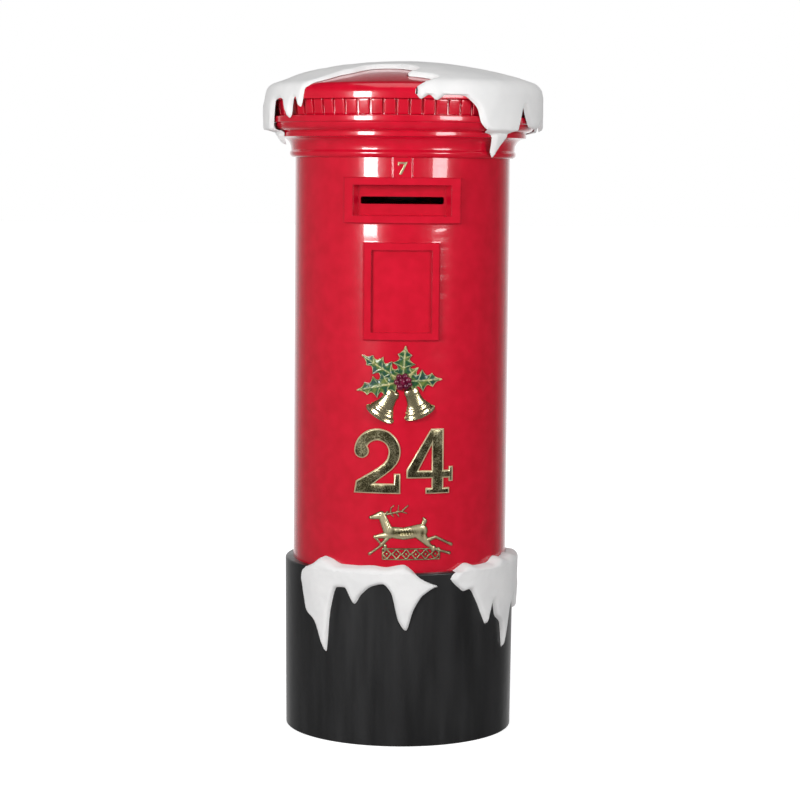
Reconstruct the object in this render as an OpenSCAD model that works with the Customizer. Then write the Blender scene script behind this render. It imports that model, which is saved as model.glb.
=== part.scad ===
// Christmas letter box: a round moulded post box with snow on its cap and plinth.
// Millimetres, +Z up, front towards -Y, origin on the floor at the middle of the plinth.

/* [Body] */
// Outside diameter of the round body
body_d = 482; // [470:1:500]
// Height of the body between the plinth and the cap
body_h = 900; // [896:1:940]
// Wall thickness of the moulded shells
wall = 5; // [4:0.5:6]
// Thickness of the inward flanges that join the mouldings
flange_t = 6; // [5:0.5:8]
// Reach of the inward flanges, measured from the body's outside
flange_w = 41; // [38:1:46]

/* [Plinth] */
// Height of the plinth
plinth_h = 381; // [350:1:410]
// Width of the ledge that the plinth leaves round the body
plinth_ledge = 17.5; // [15:0.5:20]
// How much the plinth's radius shrinks towards the floor
plinth_taper = 3.5; // [1:0.5:6]
// Rounding of the plinth's upper edge
plinth_edge_r = 4; // [2:0.5:5]
// Thickness of the plywood board in the plinth's foot
base_board_t = 18; // [12:1:24]
// Thickness of the plywood floor that the letters fall on
floor_board_t = 12; // [9:1:15]
// Gap between a board and the shell round it
board_gap = 4; // [2:0.5:6]

/* [Cap] */
// Projection of the neck roll from the body
neck_out = 21; // [18:0.5:24]
// Height of the neck roll
neck_h = 19; // [16:0.5:22]
// Projection of the collar above the neck roll
collar_out = 10; // [8:0.5:12]
// Radius of the hollow cove above the collar
cove_r = 24; // [20:0.5:26]
// Height of the flat fillet above the cove
fillet_h = 12; // [9:0.5:15]
// Radius of the round moulding under the ledge
ovolo_r = 18; // [15:0.5:19]
// Projection of the cornice ledge from the body
ledge_out = 58; // [56:0.5:60]
// Height of the cornice ledge
ledge_h = 15; // [12:0.5:18]
// Height of the row of blocks
block_h = 34; // [28:1:40]
// Projection of the blocks' faces from the body
block_out = 50; // [48:0.5:53]
// Depth of the gaps between the blocks
block_depth = 7; // [4:0.5:8]
// Number of blocks round the cap
block_count = 64; // [48:2:72]
// Width of the gap between two blocks
block_gap = 4.5; // [3:0.5:6]
// Thickness of the strip that carries the blocks
block_strip = 2.5; // [2:0.25:4]
// Projection of the dome's rim from the body
rim_out = 62; // [60.5:0.5:65]
// Height of the rim's upright face
rim_h = 12; // [9:0.5:15]
// Radius of the dome's shoulder
shoulder_r = 24; // [18:1:30]
// Rise of the dome above its rim
dome_rise = 68; // [60:1:80]

/* [Posting aperture] */
// Width of the raised frame round the aperture
frame_w = 254; // [244:1:262]
// Height of that frame
frame_h = 98; // [90:1:106]
// How far the frame stands out of the body
frame_out = 12; // [8:0.5:16]
// Distance from the body's top to the middle of the aperture
frame_drop = 92; // [88:1:96]
// Width of the recess at the front
recess_w = 216; // [200:1:226]
// Width of the recess at its back
recess_back_w = 188; // [184:1:194]
// Height of the recess
recess_h = 66; // [56:1:72]
// Distance of the recess's back from the body's axis
recess_back = 205; // [200:1:208]
// Width of the posting slot
slot_w = 180; // [160:1:182]
// Height of the posting slot
slot_h = 16; // [12:0.5:22]
// Corner radius of the slot
slot_r = 4; // [2:0.5:5.5]
// Width of the tablet for the box number
tablet_w = 43; // [36:1:50]
// How far the tablet stands out of the body
tablet_out = 3; // [2:0.5:5]

/* [Notice frame] */
// Width of the frame for the collection notice
notice_w = 164; // [150:1:176]
// Height of that frame
notice_h = 210; // [200:1:216]
// Width of the frame's bars
notice_bar = 16.5; // [12:0.5:20]
// How far the frame stands out of the body
notice_out = 10; // [6:0.5:12]
// Distance from the body's top to the middle of the notice frame
notice_drop = 288; // [286:1:296]

/* [Rear door] */
// Width of the door opening
door_w = 290; // [270:1:296]
// Height of the door opening
door_h = 520; // [440:1:560]
// Height of the opening's sill above the plinth
door_sill = 99; // [70:1:130]
// Corner radius of the door opening
door_r = 22; // [14:1:30]
// Gap between the door and the edge of its opening
door_gap = 2.5; // [2:0.25:3.5]
// Depth of the rebate behind the door
seat_depth = 3; // [2.5:0.25:4]
// Width of the rebate that the door closes over
seat_w = 14; // [12:0.5:18]
// Thickness of the rebate's flange
seat_t = 5; // [4:0.5:6]
// How far the rebate's flange runs behind the wall
seat_back = 8; // [6:0.5:10]
// Clearance between the rubber seal and the shut door
seal_gap = 0.5; // [0.4:0.1:0.8]

/* [Hinges] */
// Length of one hinge
hinge_l = 66; // [60:1:84]
// Distance between the middles of the two hinges
hinge_pitch = 330; // [260:1:360]
// Width of one hinge leaf
leaf_w = 42; // [38:1:46]
// Thickness of the leaves
leaf_t = 2; // [1.5:0.25:2.5]
// Radius of the hinge knuckles
knuckle_r = 5; // [4.5:0.25:5.25]
// Radius of the hinge pins
pin_r = 3; // [2.5:0.25:3.25]
// Height of the pin's axis above the body's surface
pin_lift = 5.5; // [5.5:0.1:6]
// Radial running clearance of the pin
pin_fit = 0.05; // [0.03:0.01:0.08]
// Radius of the rivets' shanks
rivet_r = 2.4; // [2:0.1:3]
// Distance of the rivets from the pin
rivet_out = 32; // [31:0.5:34]

/* [Lock] */
// Distance of the lock from the opening's edge
lock_inset = 38; // [36:0.5:42]
// Radius of the lock's housing
lock_r = 9.5; // [8.5:0.25:10]
// Radius of the plug that turns in it
plug_r = 6; // [5:0.25:6.5]
// Radius of the housing's flange
lock_flange_r = 12.5; // [11.5:0.25:14]
// Thickness of the housing's flange
lock_flange_t = 3; // [2:0.25:4]
// Reach of the cam from the lock's axis
cam_reach = 45; // [44:0.5:48]
// Thickness of the cam
cam_t = 3; // [2:0.25:4]
// Half width of the cam
cam_r = 8.5; // [7:0.25:9]

/* [Castings] */
// Thickness of the gold numerals
numeral_t = 5; // [3:0.5:8]
// Height of the gold numerals
numeral_h = 142; // [130:1:144]
// Height of the middle of the numerals below the body's top
numeral_drop = 656; // [654:1:657]
// Thickness of the holly casting
holly_t = 5; // [3:0.5:6]
// Distance from the body's top to the berries
holly_drop = 482; // [480:1:484]
// Distance from the berries down to the bells
bell_drop = 72; // [70:1:76]
// Radius of one berry
berry_r = 7.5; // [6:0.25:8]
// Depth of the bells in relief, as a share of their roundness
bell_relief = 0.42; // [0.3:0.02:0.6]
// Thickness of the reindeer casting
deer_t = 4.5; // [3:0.5:6]
// Distance from the body's top to the middle of the reindeer
deer_drop = 819; // [818:1:820]

/* [Snow] */
// Thickness of the moulded snow
snow_t = 13; // [9:0.5:16]
// Radius of the snow's rounded edges
snow_edge = 12; // [8:0.5:16]

/* [Fasteners] */
// Radius of the flange bolts
bolt_r = 4; // [3:0.5:5]
// Number of bolts in each flange joint
bolt_count = 6; // [4:1:8]
// Clearance of a fastener in its hole
hole_fit = 0.25; // [0.15:0.05:0.5]
// Number of screws that hold the base board
screw_count = 8; // [6:1:12]
// Radius of those screws
screw_r = 2.25; // [1.75:0.25:3]

/* [Hidden] */
$fn = 96;
body_r = body_d / 2;
inner_r = body_r - wall;
cap_z = plinth_h + body_h;
plinth_r = body_r + plinth_ledge;
foot_r = plinth_r - plinth_taper;
ring_r = body_r - flange_w;
// Small gap at which one piece seats on another
seat = 0.3;
// Overlap of a cutting shape past the faces it cuts
over = 1;
// Levels of the cap's mouldings, from the bottom up
cove_z = cap_z + neck_h + 2;
fillet_z = cove_z + cove_r;
ovolo_z = fillet_z + fillet_h + over;
ledge_z = ovolo_z + ovolo_r;
block_z = ledge_z + ledge_h;
rim_z = block_z + block_h;
// The blocks' strip lies in a groove of the cap
groove_r = body_r + block_out - block_depth - block_strip - seat;
dome_z = rim_z + rim_h;
top_z = dome_z + dome_rise;
rim_r = body_r + rim_out;
fillet_out = collar_out + cove_r + 2;
step_r = 3;
// The dome is a sphere that runs into the round shoulder without a corner
shoulder_x = rim_r - shoulder_r;
dome_r = (shoulder_x * shoulder_x + dome_rise * dome_rise - shoulder_r * shoulder_r)
    / (2 * (dome_rise - shoulder_r));
dome_c = top_z - dome_r;
join_x = shoulder_x * dome_r / (dome_r - shoulder_r);
// Heights of the front features
// Their distances from the top are those of a body of this height, and spread with it
front_h = 900;
spread = body_h / front_h;
frame_z = cap_z - frame_drop * spread;
notice_z = cap_z - notice_drop * spread;
holly_z = cap_z - holly_drop * spread;
bell_z = holly_z - bell_drop * spread;
numeral_z = cap_z - numeral_drop * spread - numeral_h / 2;
deer_z = cap_z - deer_drop * spread;
// The door, its rebate and its hinge line, seen from above with +Y at the back
door_z = plinth_h + door_sill;
door_mid = door_z + door_h / 2;
seat_r = inner_r - seat_depth;
seat_in = seat_r - seat_t;
pin_a = asin((door_w / 2 - door_gap / 2) / body_r);
pin_line = body_r + pin_lift;
leaf_r = body_r + seat;
knuckle_gap = 0.3;
knuckle_l = (hinge_l - 2 * knuckle_gap) / 3;
// The lock stands square to the wall, and its cam just clears the rebate's flange
lock_a = asin((door_w / 2 - lock_inset) / body_r);
cam_gap = 0.7;
cam_y = sqrt(pow(seat_in - cam_gap, 2) - cam_reach * cam_reach);
lock_nut_t = 5;
lock_nut_r = 13.5;
tenon = 7;
// Fastener sizes that follow the bolt
bolt_pcr = body_r - flange_w / 2;
washer_r = 2 * bolt_r + 1;
washer_t = 1.6;
head_t = 1.3 * bolt_r;
nut_t = 1.6 * bolt_r;
hex_r = 1.85 * bolt_r;
thread_fit = 0.05;

// Paint and metal colours
red = [0.80, 0.02, 0.12];
black = [0.05, 0.05, 0.05];
snow_white = [0.93, 0.94, 0.94];
gold = [0.72, 0.62, 0.36];
steel = [0.70, 0.71, 0.73];
ply = [0.76, 0.62, 0.42];

// General shapes

module ring(r_out, r_in, z, h) {
    difference() {
        translate([0, 0, z]) cylinder(r = r_out, h = h, $fn = 180);
        translate([0, 0, z - over]) cylinder(r = r_in, h = h + 2 * over, $fn = 180);
    }
}

// Part of a ring between two angles, counted from the back (+Y) towards +X
module arc_plate(r_in, r_out, a0, a1, z, h) {
    rotate([0, 0, 90 - a1]) rotate_extrude(angle = a1 - a0, $fn = 240)
        translate([r_in, z]) square([r_out - r_in, h]);
}

// An outline in X and Z, pushed forward and cut to a skin that wraps the body
module on_front(r_in, r_out, x, z, reach) {
    intersection() {
        translate([x, 0, z]) rotate([90, 0, 0]) linear_extrude(height = r_out + over) children();
        ring(r_out, r_in, z - reach, 2 * reach);
    }
}

// The corners of a casting's outline are slightly rounded
module cast_edge(r = 0.5) {
    offset(r = r, $fn = 12) offset(delta = -r) children();
}

// The same outline pushed to the back
module through_back(z) {
    translate([0, 0, z]) rotate([90, 0, 180]) linear_extrude(height = body_r + over) children();
}

module soft_rect(w, h, r) {
    square([w - 2 * r, h], center = true);
    square([w, h - 2 * r], center = true);
    for (sx = [-1, 1], sz = [-1, 1])
        translate([sx * (w / 2 - r), sz * (h / 2 - r)]) circle(r = r, $fn = 32);
}

// A straight limb with round ends, thick at one end and thin at the other
module limb(p, q, rp, rq) {
    d = q - p;
    side = [-d[1], d[0]] / norm(d);
    polygon([p + side * rp, p - side * rp, q - side * rq, q + side * rq]);
    translate(p) circle(r = rp, $fn = 12);
    translate(q) circle(r = rq, $fn = 12);
}

module round_bolts(z) {
    for (i = [0:bolt_count - 1])
        rotate([0, 0, (i + 0.5) * 360 / bolt_count]) translate([bolt_pcr, 0, z]) children();
}

module bolt(length) {
    cylinder(r = bolt_r, h = length, $fn = 32);
    translate([0, 0, -head_t]) cylinder(r = hex_r, h = head_t, $fn = 6);
}

module washer() {
    difference() {
        cylinder(r = washer_r, h = washer_t, $fn = 48);
        translate([0, 0, -over]) cylinder(r = bolt_r + hole_fit, h = washer_t + 2 * over, $fn = 32);
    }
}

module nut() {
    difference() {
        cylinder(r = hex_r, h = nut_t, $fn = 6);
        translate([0, 0, -over]) cylinder(r = bolt_r + thread_fit, h = nut_t + 2 * over, $fn = 32);
    }
}

module bolt_holes(z, h) {
    round_bolts(z - over) cylinder(r = bolt_r + hole_fit, h = h + 2 * over, $fn = 32);
}

// Plinth and boards

module plinth_profile() {
    edge_x = plinth_r - plinth_edge_r;
    difference() {
        union() {
            polygon([
                [0, 0], [foot_r, 0], [plinth_r, plinth_h - plinth_edge_r], [0, plinth_h - plinth_edge_r]
            ]);
            square([edge_x, plinth_h]);
            translate([edge_x, plinth_h - plinth_edge_r]) circle(r = plinth_edge_r, $fn = 48);
        }
        translate([-over, -over]) square([ring_r + over, plinth_h + 2 * over]);
        polygon([
            [0, flange_t], [foot_r - wall, flange_t],
            [plinth_r - wall, plinth_h - flange_t], [0, plinth_h - flange_t]
        ]);
    }
}

module screw_places() {
    for (i = [0:screw_count - 1])
        rotate([0, 0, (i + 0.5) * 360 / screw_count])
            translate([(ring_r + foot_r - wall) / 2, 0, 0]) children();
}

// A countersunk wood screw, driven upwards from the floor side
module wood_screw(gap) {
    head_h = screw_r;
    translate([0, 0, seat]) cylinder(r1 = 2 * screw_r + gap, r2 = screw_r + gap, h = head_h, $fn = 32);
    cylinder(r = screw_r + gap, h = flange_t + base_board_t * 0.8, $fn = 32);
}

module plinth() {
    color(black) difference() {
        rotate_extrude($fn = 180) plinth_profile();
        bolt_holes(plinth_h - flange_t, flange_t);
        screw_places() wood_screw(hole_fit);
        screw_places() translate([0, 0, -over])
            cylinder(r = 2 * screw_r + hole_fit, h = over + seat, $fn = 32);
    }
}

module base_board() {
    color(ply) difference() {
        translate([0, 0, flange_t]) cylinder(r = foot_r - wall - board_gap, h = base_board_t, $fn = 180);
        screw_places() wood_screw(thread_fit);
    }
}

module base_screws() {
    color(steel) screw_places() intersection() {
        wood_screw(0);
        translate([0, 0, seat]) cylinder(r = 3 * screw_r, h = flange_t + base_board_t, $fn = 32);
    }
}

module floor_board() {
    color(ply) difference() {
        translate([0, 0, plinth_h + flange_t])
            cylinder(r = inner_r - board_gap, h = floor_board_t, $fn = 180);
        bolt_holes(plinth_h + flange_t, floor_board_t);
    }
}

// Body shell

// Outline of the recess from above: it narrows towards its back
module recess_plan(grow) {
    edge_y = sqrt(pow(body_r + frame_out, 2) - recess_w * recess_w / 4);
    slope = (recess_w - recess_back_w) / 2 / (edge_y - recess_back);
    far = body_r + frame_out + 2 * over;
    far_x = recess_back_w / 2 + slope * (far - recess_back);
    polygon([
        [-far_x - grow, -far], [far_x + grow, -far],
        [recess_back_w / 2 + grow, -recess_back + grow], [-recess_back_w / 2 - grow, -recess_back + grow]
    ]);
}

module aperture_box() {
    pocket_t = wall - over;
    intersection() {
        translate([0, 0, frame_z - recess_h / 2 - pocket_t])
            linear_extrude(height = recess_h + 2 * pocket_t) recess_plan(pocket_t);
        cylinder(r = body_r - over, h = cap_z, $fn = 180);
    }
}

// The raised frame has its upper and lower edges chamfered
module aperture_frame() {
    bevel = 3;
    intersection() {
        translate([0, 0, frame_z - frame_h / 2]) rotate_extrude($fn = 180) polygon([
            [inner_r + over, 0], [body_r + frame_out - bevel, 0], [body_r + frame_out, bevel],
            [body_r + frame_out, frame_h - bevel], [body_r + frame_out - bevel, frame_h],
            [inner_r + over, frame_h]
        ]);
        translate([-frame_w / 2, -body_r - frame_out - over, frame_z - frame_h / 2 - over])
            cube([frame_w, body_r, frame_h + 2 * over]);
    }
}

module notice_frame() {
    on_front(inner_r + over, body_r + notice_out, 0, notice_z, notice_h) difference() {
        square([notice_w, notice_h], center = true);
        square([notice_w - 2 * notice_bar, notice_h - 2 * notice_bar], center = true);
    }
}

module number_tablet() {
    low = frame_z + frame_h / 2 - over;
    on_front(inner_r + over, body_r + tablet_out, 0, (low + cap_z) / 2, (cap_z - low) / 2)
        square([tablet_w, cap_z - low], center = true);
}

// Flange behind the door opening, stepped so that the door lies flush in it
module door_rebate() {
    difference() {
        intersection() {
            ring(inner_r + over, seat_in, door_z - 2 * seat_back, door_h + 4 * seat_back);
            through_back(door_mid)
                soft_rect(door_w + 2 * seat_back, door_h + 2 * seat_back, door_r + seat_back);
        }
        intersection() {
            ring(body_r, seat_r, door_z - over, door_h + 2 * over);
            through_back(door_mid) soft_rect(door_w, door_h, door_r);
        }
        through_back(door_mid) soft_rect(door_w - 2 * seat_w, door_h - 2 * seat_w, door_r);
    }
}

module body_shell() {
    color(red) difference() {
        union() {
            difference() {
                ring(body_r, inner_r, plinth_h, body_h);
                through_back(door_mid) soft_rect(door_w, door_h, door_r);
            }
            ring(inner_r + over, ring_r, plinth_h, flange_t);
            ring(inner_r + over, ring_r, cap_z - flange_t, flange_t);
            aperture_box();
            aperture_frame();
            notice_frame();
            number_tablet();
            door_rebate();
        }
        translate([0, 0, frame_z - recess_h / 2]) linear_extrude(height = recess_h) recess_plan(0);
        translate([0, 0, frame_z]) rotate([90, 0, 0]) linear_extrude(height = body_r)
            soft_rect(slot_w, slot_h, slot_r);
        bolt_holes(plinth_h, flange_t);
        bolt_holes(cap_z - flange_t, flange_t);
        rivet_places(1) rivet_shank(rivet_r + thread_fit);
    }
}

// Cap

// Half section of the solid dome, shrunk by an inset for its inside
module dome_section(inset, floor_z) {
    intersection() {
        translate([0, dome_c]) circle(r = dome_r - inset, $fn = 360);
        translate([0, floor_z]) square([join_x - inset * join_x / dome_r, dome_r]);
    }
    intersection() {
        translate([shoulder_x, dome_z]) circle(r = shoulder_r - inset, $fn = 96);
        translate([0, dome_z - over]) square([rim_r, dome_r]);
    }
    translate([0, floor_z]) square([rim_r - inset, dome_z - floor_z]);
}

// A flat moulding with both outer corners rounded
module step(x, z, h) {
    translate([0, z]) square([x - step_r, h]);
    translate([0, z + step_r]) square([x, h - 2 * step_r]);
    for (c = [z + step_r, z + h - step_r]) translate([x - step_r, c]) circle(r = step_r, $fn = 32);
}

module cap_outside() {
    roll_r = neck_h / 2;
    translate([0, cap_z]) square([body_r + neck_out - roll_r, neck_h]);
    translate([body_r + neck_out - roll_r, cap_z + roll_r]) circle(r = roll_r, $fn = 64);
    translate([0, cap_z + over]) square([body_r + collar_out, cove_z - cap_z]);
    difference() {
        translate([0, cove_z - over]) square([body_r + collar_out + cove_r, cove_r + over]);
        translate([body_r + collar_out + cove_r, cove_z]) circle(r = cove_r, $fn = 64);
        translate([body_r + collar_out, cove_z - 2 * over]) square([2 * cove_r, 2 * over]);
    }
    step(body_r + fillet_out, fillet_z, fillet_h);
    translate([0, fillet_z + over]) square([body_r + fillet_out - step_r, fillet_h + over]);
    intersection() {
        translate([body_r + fillet_out, ledge_z]) circle(r = ovolo_r, $fn = 64);
        translate([0, ovolo_z - over]) square([2 * body_r, ovolo_r + 2 * over]);
    }
    translate([0, ovolo_z - over]) square([body_r + fillet_out, ovolo_r + 2 * over]);
    step(body_r + ledge_out, ledge_z, ledge_h);
    translate([0, block_z - over]) square([groove_r, block_h + 2 * over]);
    dome_section(0, rim_z);
}

module cap_inside() {
    back_x = groove_r - wall;
    polygon([
        [0, cap_z - over], [ring_r, cap_z - over], [ring_r, cap_z + flange_t],
        [body_r + collar_out - wall, cap_z + flange_t], [body_r + collar_out - wall, fillet_z - wall],
        [body_r + fillet_out - wall - 2, fillet_z + wall], [back_x - 3, ovolo_z + wall],
        [back_x, ledge_z], [back_x, rim_z + wall + over], [0, rim_z + wall + over]
    ]);
    dome_section(wall, rim_z + wall);
}

module cap() {
    color(red) difference() {
        rotate_extrude($fn = 180) difference() {
            cap_outside();
            cap_inside();
        }
        bolt_holes(cap_z, flange_t);
    }
}

// The course of small blocks under the dome, moulded as one strip
module block_course() {
    color(red) difference() {
        ring(body_r + block_out, groove_r + seat, block_z + seat, block_h - 2 * seat);
        for (i = [0:block_count - 1])
            rotate([0, 0, (i + 0.5) * 360 / block_count])
                translate([body_r + block_out - block_depth, -block_gap / 2, block_z])
                    cube([block_depth + over, block_gap, block_h]);
    }
}

// Snow

function mix(a, b, t) = a + (b - a) * t;
function clamp(v) = max(0, min(1, v));

// Smooth curve through a list of [angle, value] pairs
function along(k, a) = let(
    i = max([for (j = [0:len(k) - 2]) if (k[j][0] <= a) j]),
    t = (a - k[i][0]) / (k[i + 1][0] - k[i][0])
) mix(k[i][1], k[i + 1][1], t * t * (3 - 2 * t));

// Angles are counted from the front (-Y) towards +X
function at(a, r, z) = [r * sin(a), -r * cos(a), z];

// How far the snow hangs below the dome's rim. A negative value stops short on the dome
bare = -208;
hang = [
    [-180, 48], [-168, 78], [-158, 36], [-148, 64], [-139, 50], [-130, 80], [-121, 44], [-112, 70],
    [-104, 45], [-96, 80], [-88, 62], [-80, 92], [-73, 110], [-69, 92], [-66, 14], [-61, 8], [-58, 14],
    [-54, 42], [-51, 56], [-49, 27], [-48.5, 24], [-46, -24], [-44.5, bare], [5, bare], [6.5, -24],
    [8.75, 12], [10.5, 4], [13.5, 15], [17.5, 4], [25, 5], [28.5, 16], [31.5, 32], [33.5, 62], [38, 80],
    [42.5, 86], [47.5, 135], [51, 106], [54, 80], [56.5, 46], [58.5, 20], [61, 44], [65, 68], [73, 72],
    [80, 58], [88, 76], [96, 50], [105, 84], [114, 66], [124, 38], [134, 70], [143, 52], [152, 84],
    [162, 48], [172, 62], [180, 48]
];
cap_angles = concat(
    [for (a = [-180:2.5:-75]) a], [for (a = [-72:1:-70]) a], [for (a = [-69.6:0.4:-65.2]) a],
    [for (a = [-64:1:-50]) a], [for (a = [-49.5:0.25:-44.5]) a], [for (a = [-42:3:3]) a],
    [for (a = [5:0.25:8.75]) a], [for (a = [10:1.5:52]) a], [for (a = [53:0.75:59]) a],
    [for (a = [60:2.5:177.5]) a]
);
// Places along the cap from the middle of the dome to the neck where the snow is stepped
skin_gap = 0.8;
shoulder_a = asin(shoulder_x / (dome_r - shoulder_r));
cap_rows = concat(
    [for (i = [1:5]) join_x * i / 5],
    [for (i = [1:2]) shoulder_x + shoulder_r * sin(mix(shoulder_a, 90, i / 3))],
    [for (z = [dome_z, ovolo_z + 3, ovolo_z - 3, fillet_z, cap_z + neck_h - 5, cap_z + 4]) rim_r + dome_z - z]
);

// Point of the cap's skin, lifted by t, at distance p from the middle
function hanging_r(z) =
    z > ovolo_z + 3 ? rim_r :
    z > ovolo_z - 3 ? mix(body_r + fillet_out + 1, rim_r, (z - ovolo_z + 3) / 6) :
    z > fillet_z ? body_r + fillet_out + 1 :
    z > cap_z + neck_h - 5 ?
        mix(body_r + neck_out + 0.5, body_r + fillet_out + 1,
            (z - cap_z - neck_h + 5) / (fillet_z - cap_z - neck_h + 5)) :
    body_r + neck_out + 0.5;
function cap_skin(p, t) =
    p > rim_r ? let(z = dome_z - (p - rim_r)) [hanging_r(z) + t, z] :
    p > join_x ? let(s = asin((p - shoulder_x) / shoulder_r))
        [shoulder_x + (shoulder_r + t) * sin(s), dome_z + (shoulder_r + t) * cos(s)] :
    let(s = asin(p / dome_r)) [(dome_r + t) * sin(s), dome_c + (dome_r + t) * cos(s)];

// The edge of the snow is a quarter round, and its top has low soft lumps
function lump(a, p) = 1.5 * sin(5 * a + p) * sin(p * 1.7 + 40) - 1.5;
function depth(e) = e >= snow_edge ? 1 : sqrt(1 - pow(1 - e / snow_edge, 2));
function cap_row(i, end) = min(cap_rows[i], end - (len(cap_rows) - i) * 1.5);

// Where the edge crosses the shoulder steeply, the underside keeps further off the cap
function lift(a) = (a > -49.6 && a < -45.4) || (a > 6 && a < 28) ? 1.4 : 0;

function cap_column(a) = let(
    end = rim_r + along(hang, a),
    under = skin_gap + lift(a),
    n = len(cap_rows),
    ps = concat([for (i = [0:n - 1]) cap_row(i, end)], [end])
) concat(
    [for (p = ps)
        let(t = max(1.2, (snow_t + lump(a, p)) * depth(end - p)), q = cap_skin(p, under + t)) at(a, q[0], q[1])],
    [for (i = [n:-1:0]) let(q = cap_skin(ps[i], under)) at(a, q[0], q[1])]
);

// Closed skin of columns all round, with one point at the top and one under it
module round_skin(columns, top, under) {
    m = len(columns[0]);
    n = len(columns);
    wrap = function(i, j) 2 + (i % n) * m + j;
    polyhedron(
        points = concat([top, under], [for (c = columns) each c]),
        faces = [for (i = [0:n - 1]) each concat(
            [[0, wrap(i, 0), wrap(i + 1, 0)], [1, wrap(i + 1, m - 1), wrap(i, m - 1)]],
            [for (j = [0:m - 2]) each [
                [wrap(i, j), wrap(i, j + 1), wrap(i + 1, j)],
                [wrap(i + 1, j), wrap(i, j + 1), wrap(i + 1, j + 1)]
            ]]
        )]
    );
}

module cap_snow() {
    color(snow_white) round_skin(
        [for (a = cap_angles) cap_column(a)],
        [0, 0, top_z + skin_gap + snow_t - 1.5], [0, 0, top_z + skin_gap]
    );
}

// Upper and lower edges of the two drifts on the plinth, as heights above the ledge
drift_step = 0.75;
left_top = [
    [-55, -8], [-51, 2], [-47, 12], [-42, 26], [-37, 22], [-31, 13], [-22, 13], [-14, 15], [-7, 12],
    [2, 18], [6, 8], [10, -9], [14, -19], [20, -24]
];
left_bottom = [
    [-55, -40], [-51, -98], [-45, -119], [-40.5, -165], [-38, -183], [-35.5, -90], [-31.5, -36], [-27.5, -35],
    [-22, -69], [-18.5, -48], [-13, -28], [-8, -23], [-4, -40], [0, -105], [3.5, -124], [7, -80],
    [12, -46], [20, -31]
];
right_top = [
    [26, -6], [31, 6], [36, 16], [43, 8], [52, 9], [59, 21], [66, 15], [74, 20], [84, 12], [94, 17], [103, -8]
];
right_bottom = [
    [26, -16], [30, -34], [33, -43], [36, -40], [41, -70], [45, -105], [48, -124], [50.5, -96], [52.5, -73],
    [55, -108], [60, -128], [63, -187], [66, -150], [70, -100], [76, -74], [82, -112], [87, -84], [94, -60],
    [103, -30]
];

// One section of a drift: it lies on the ledge against the body and spills over the rim
function drift_section(up, down) = let(
    zt = plinth_h + up,
    zb = plinth_h + down,
    h = zt - zb,
    on_ledge = clamp((up - 5) / 8),
    t = snow_t * min(1, h / 30) * 0.8,
    foot = plinth_r + seat - plinth_taper * -down / plinth_h,
    seat_z = min(zt - 3, plinth_h + seat)
) [
    [foot + 0.2, zb + 1],
    [plinth_r + 0.5, seat_z],
    [mix(plinth_r + 1.5, body_r + 0.6, on_ledge), seat_z + 1.5 * (1 - on_ledge)],
    [mix(plinth_r + 0.3 * t, body_r + 4, on_ledge), zt],
    [mix(plinth_r + 0.75 * t, plinth_r + 0.35 * t, on_ledge), zt - min(4, 0.12 * h)],
    [plinth_r + t, zt - 0.3 * h],
    [plinth_r + t, zb + 0.35 * h],
    [foot + 0.85 * t, zb + min(6, 0.12 * h)],
    [foot + 0.5 * t, zb]
];

module drift(upper, lower, a0, a1) {
    columns = [for (a = [a0:drift_step:a1])
        [for (q = drift_section(along(upper, a), along(lower, a))) at(a, q[0], q[1])]];
    m = len(columns[0]);
    n = len(columns);
    polyhedron(
        points = [for (c = columns) each c],
        faces = concat(
            [[for (j = [0:m - 1]) j], [for (j = [m - 1:-1:0]) (n - 1) * m + j]],
            [for (i = [0:n - 2]) for (j = [0:m - 1]) let(k = (j + 1) % m) each [
                [i * m + j, (i + 1) * m + j, i * m + k],
                [i * m + k, (i + 1) * m + j, (i + 1) * m + k]
            ]]
        )
    );
}

module plinth_snow_left() {
    color(snow_white) drift(left_top, left_bottom, -55, 20);
}

module plinth_snow_right() {
    color(snow_white) drift(right_top, right_bottom, 26, 102.5);
}

// Gold numerals

module number_seven() {
    w = 20;
    h = 27;
    bar = 4;
    tablet_r = body_r + tablet_out + seat;
    tablet_mid = frame_z + frame_h / 2 + 20;
    color(gold) on_front(tablet_r, tablet_r + 2, 0, tablet_mid, 2 * h) {
        cast_edge() {
            translate([-w / 2, h / 2 - bar]) square([w, bar]);
            translate([-w / 2, h / 2 - 2 * bar]) square([2.5, 2 * bar]);
            polygon([
                [w / 2 - 5, h / 2 - 1], [w / 2, h / 2 - 1], [-w / 2 + 8, -h / 2], [-w / 2 + 2.5, -h / 2]
            ]);
        }
    }
}

// The 2 has a round head that ends in a ball, a straight neck and a flat foot
module two_outline(w, h, s) {
    r = w / 2;
    head_z = h - r;
    foot_h = 0.86 * s;
    difference() {
        translate([r, head_z]) circle(r = r, $fn = 72);
        translate([r, head_z]) circle(r = r - s, $fn = 72);
        translate([-over, 0]) square([r + over, head_z]);
        translate([0, -over]) square([w, head_z - 0.42 * r]);
    }
    translate([0.16 * w, head_z + 1]) circle(r = 0.16 * w, $fn = 40);
    polygon([
        [w - 1.4, head_z - 0.24 * r], [w * 0.915, head_z - 0.55 * r],
        [0.40 * w, foot_h - 1], [0.02 * w, foot_h - 1],
        [0.03 * w, foot_h + 0.04 * h], [w - 1.02 * s - 4, head_z - 0.34 * r], [w - s, head_z - 0.1 * r]
    ]);
    square([w, foot_h]);
    translate([w - 0.55 * s, 0]) square([0.55 * s, 1.7 * s]);
}

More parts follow.
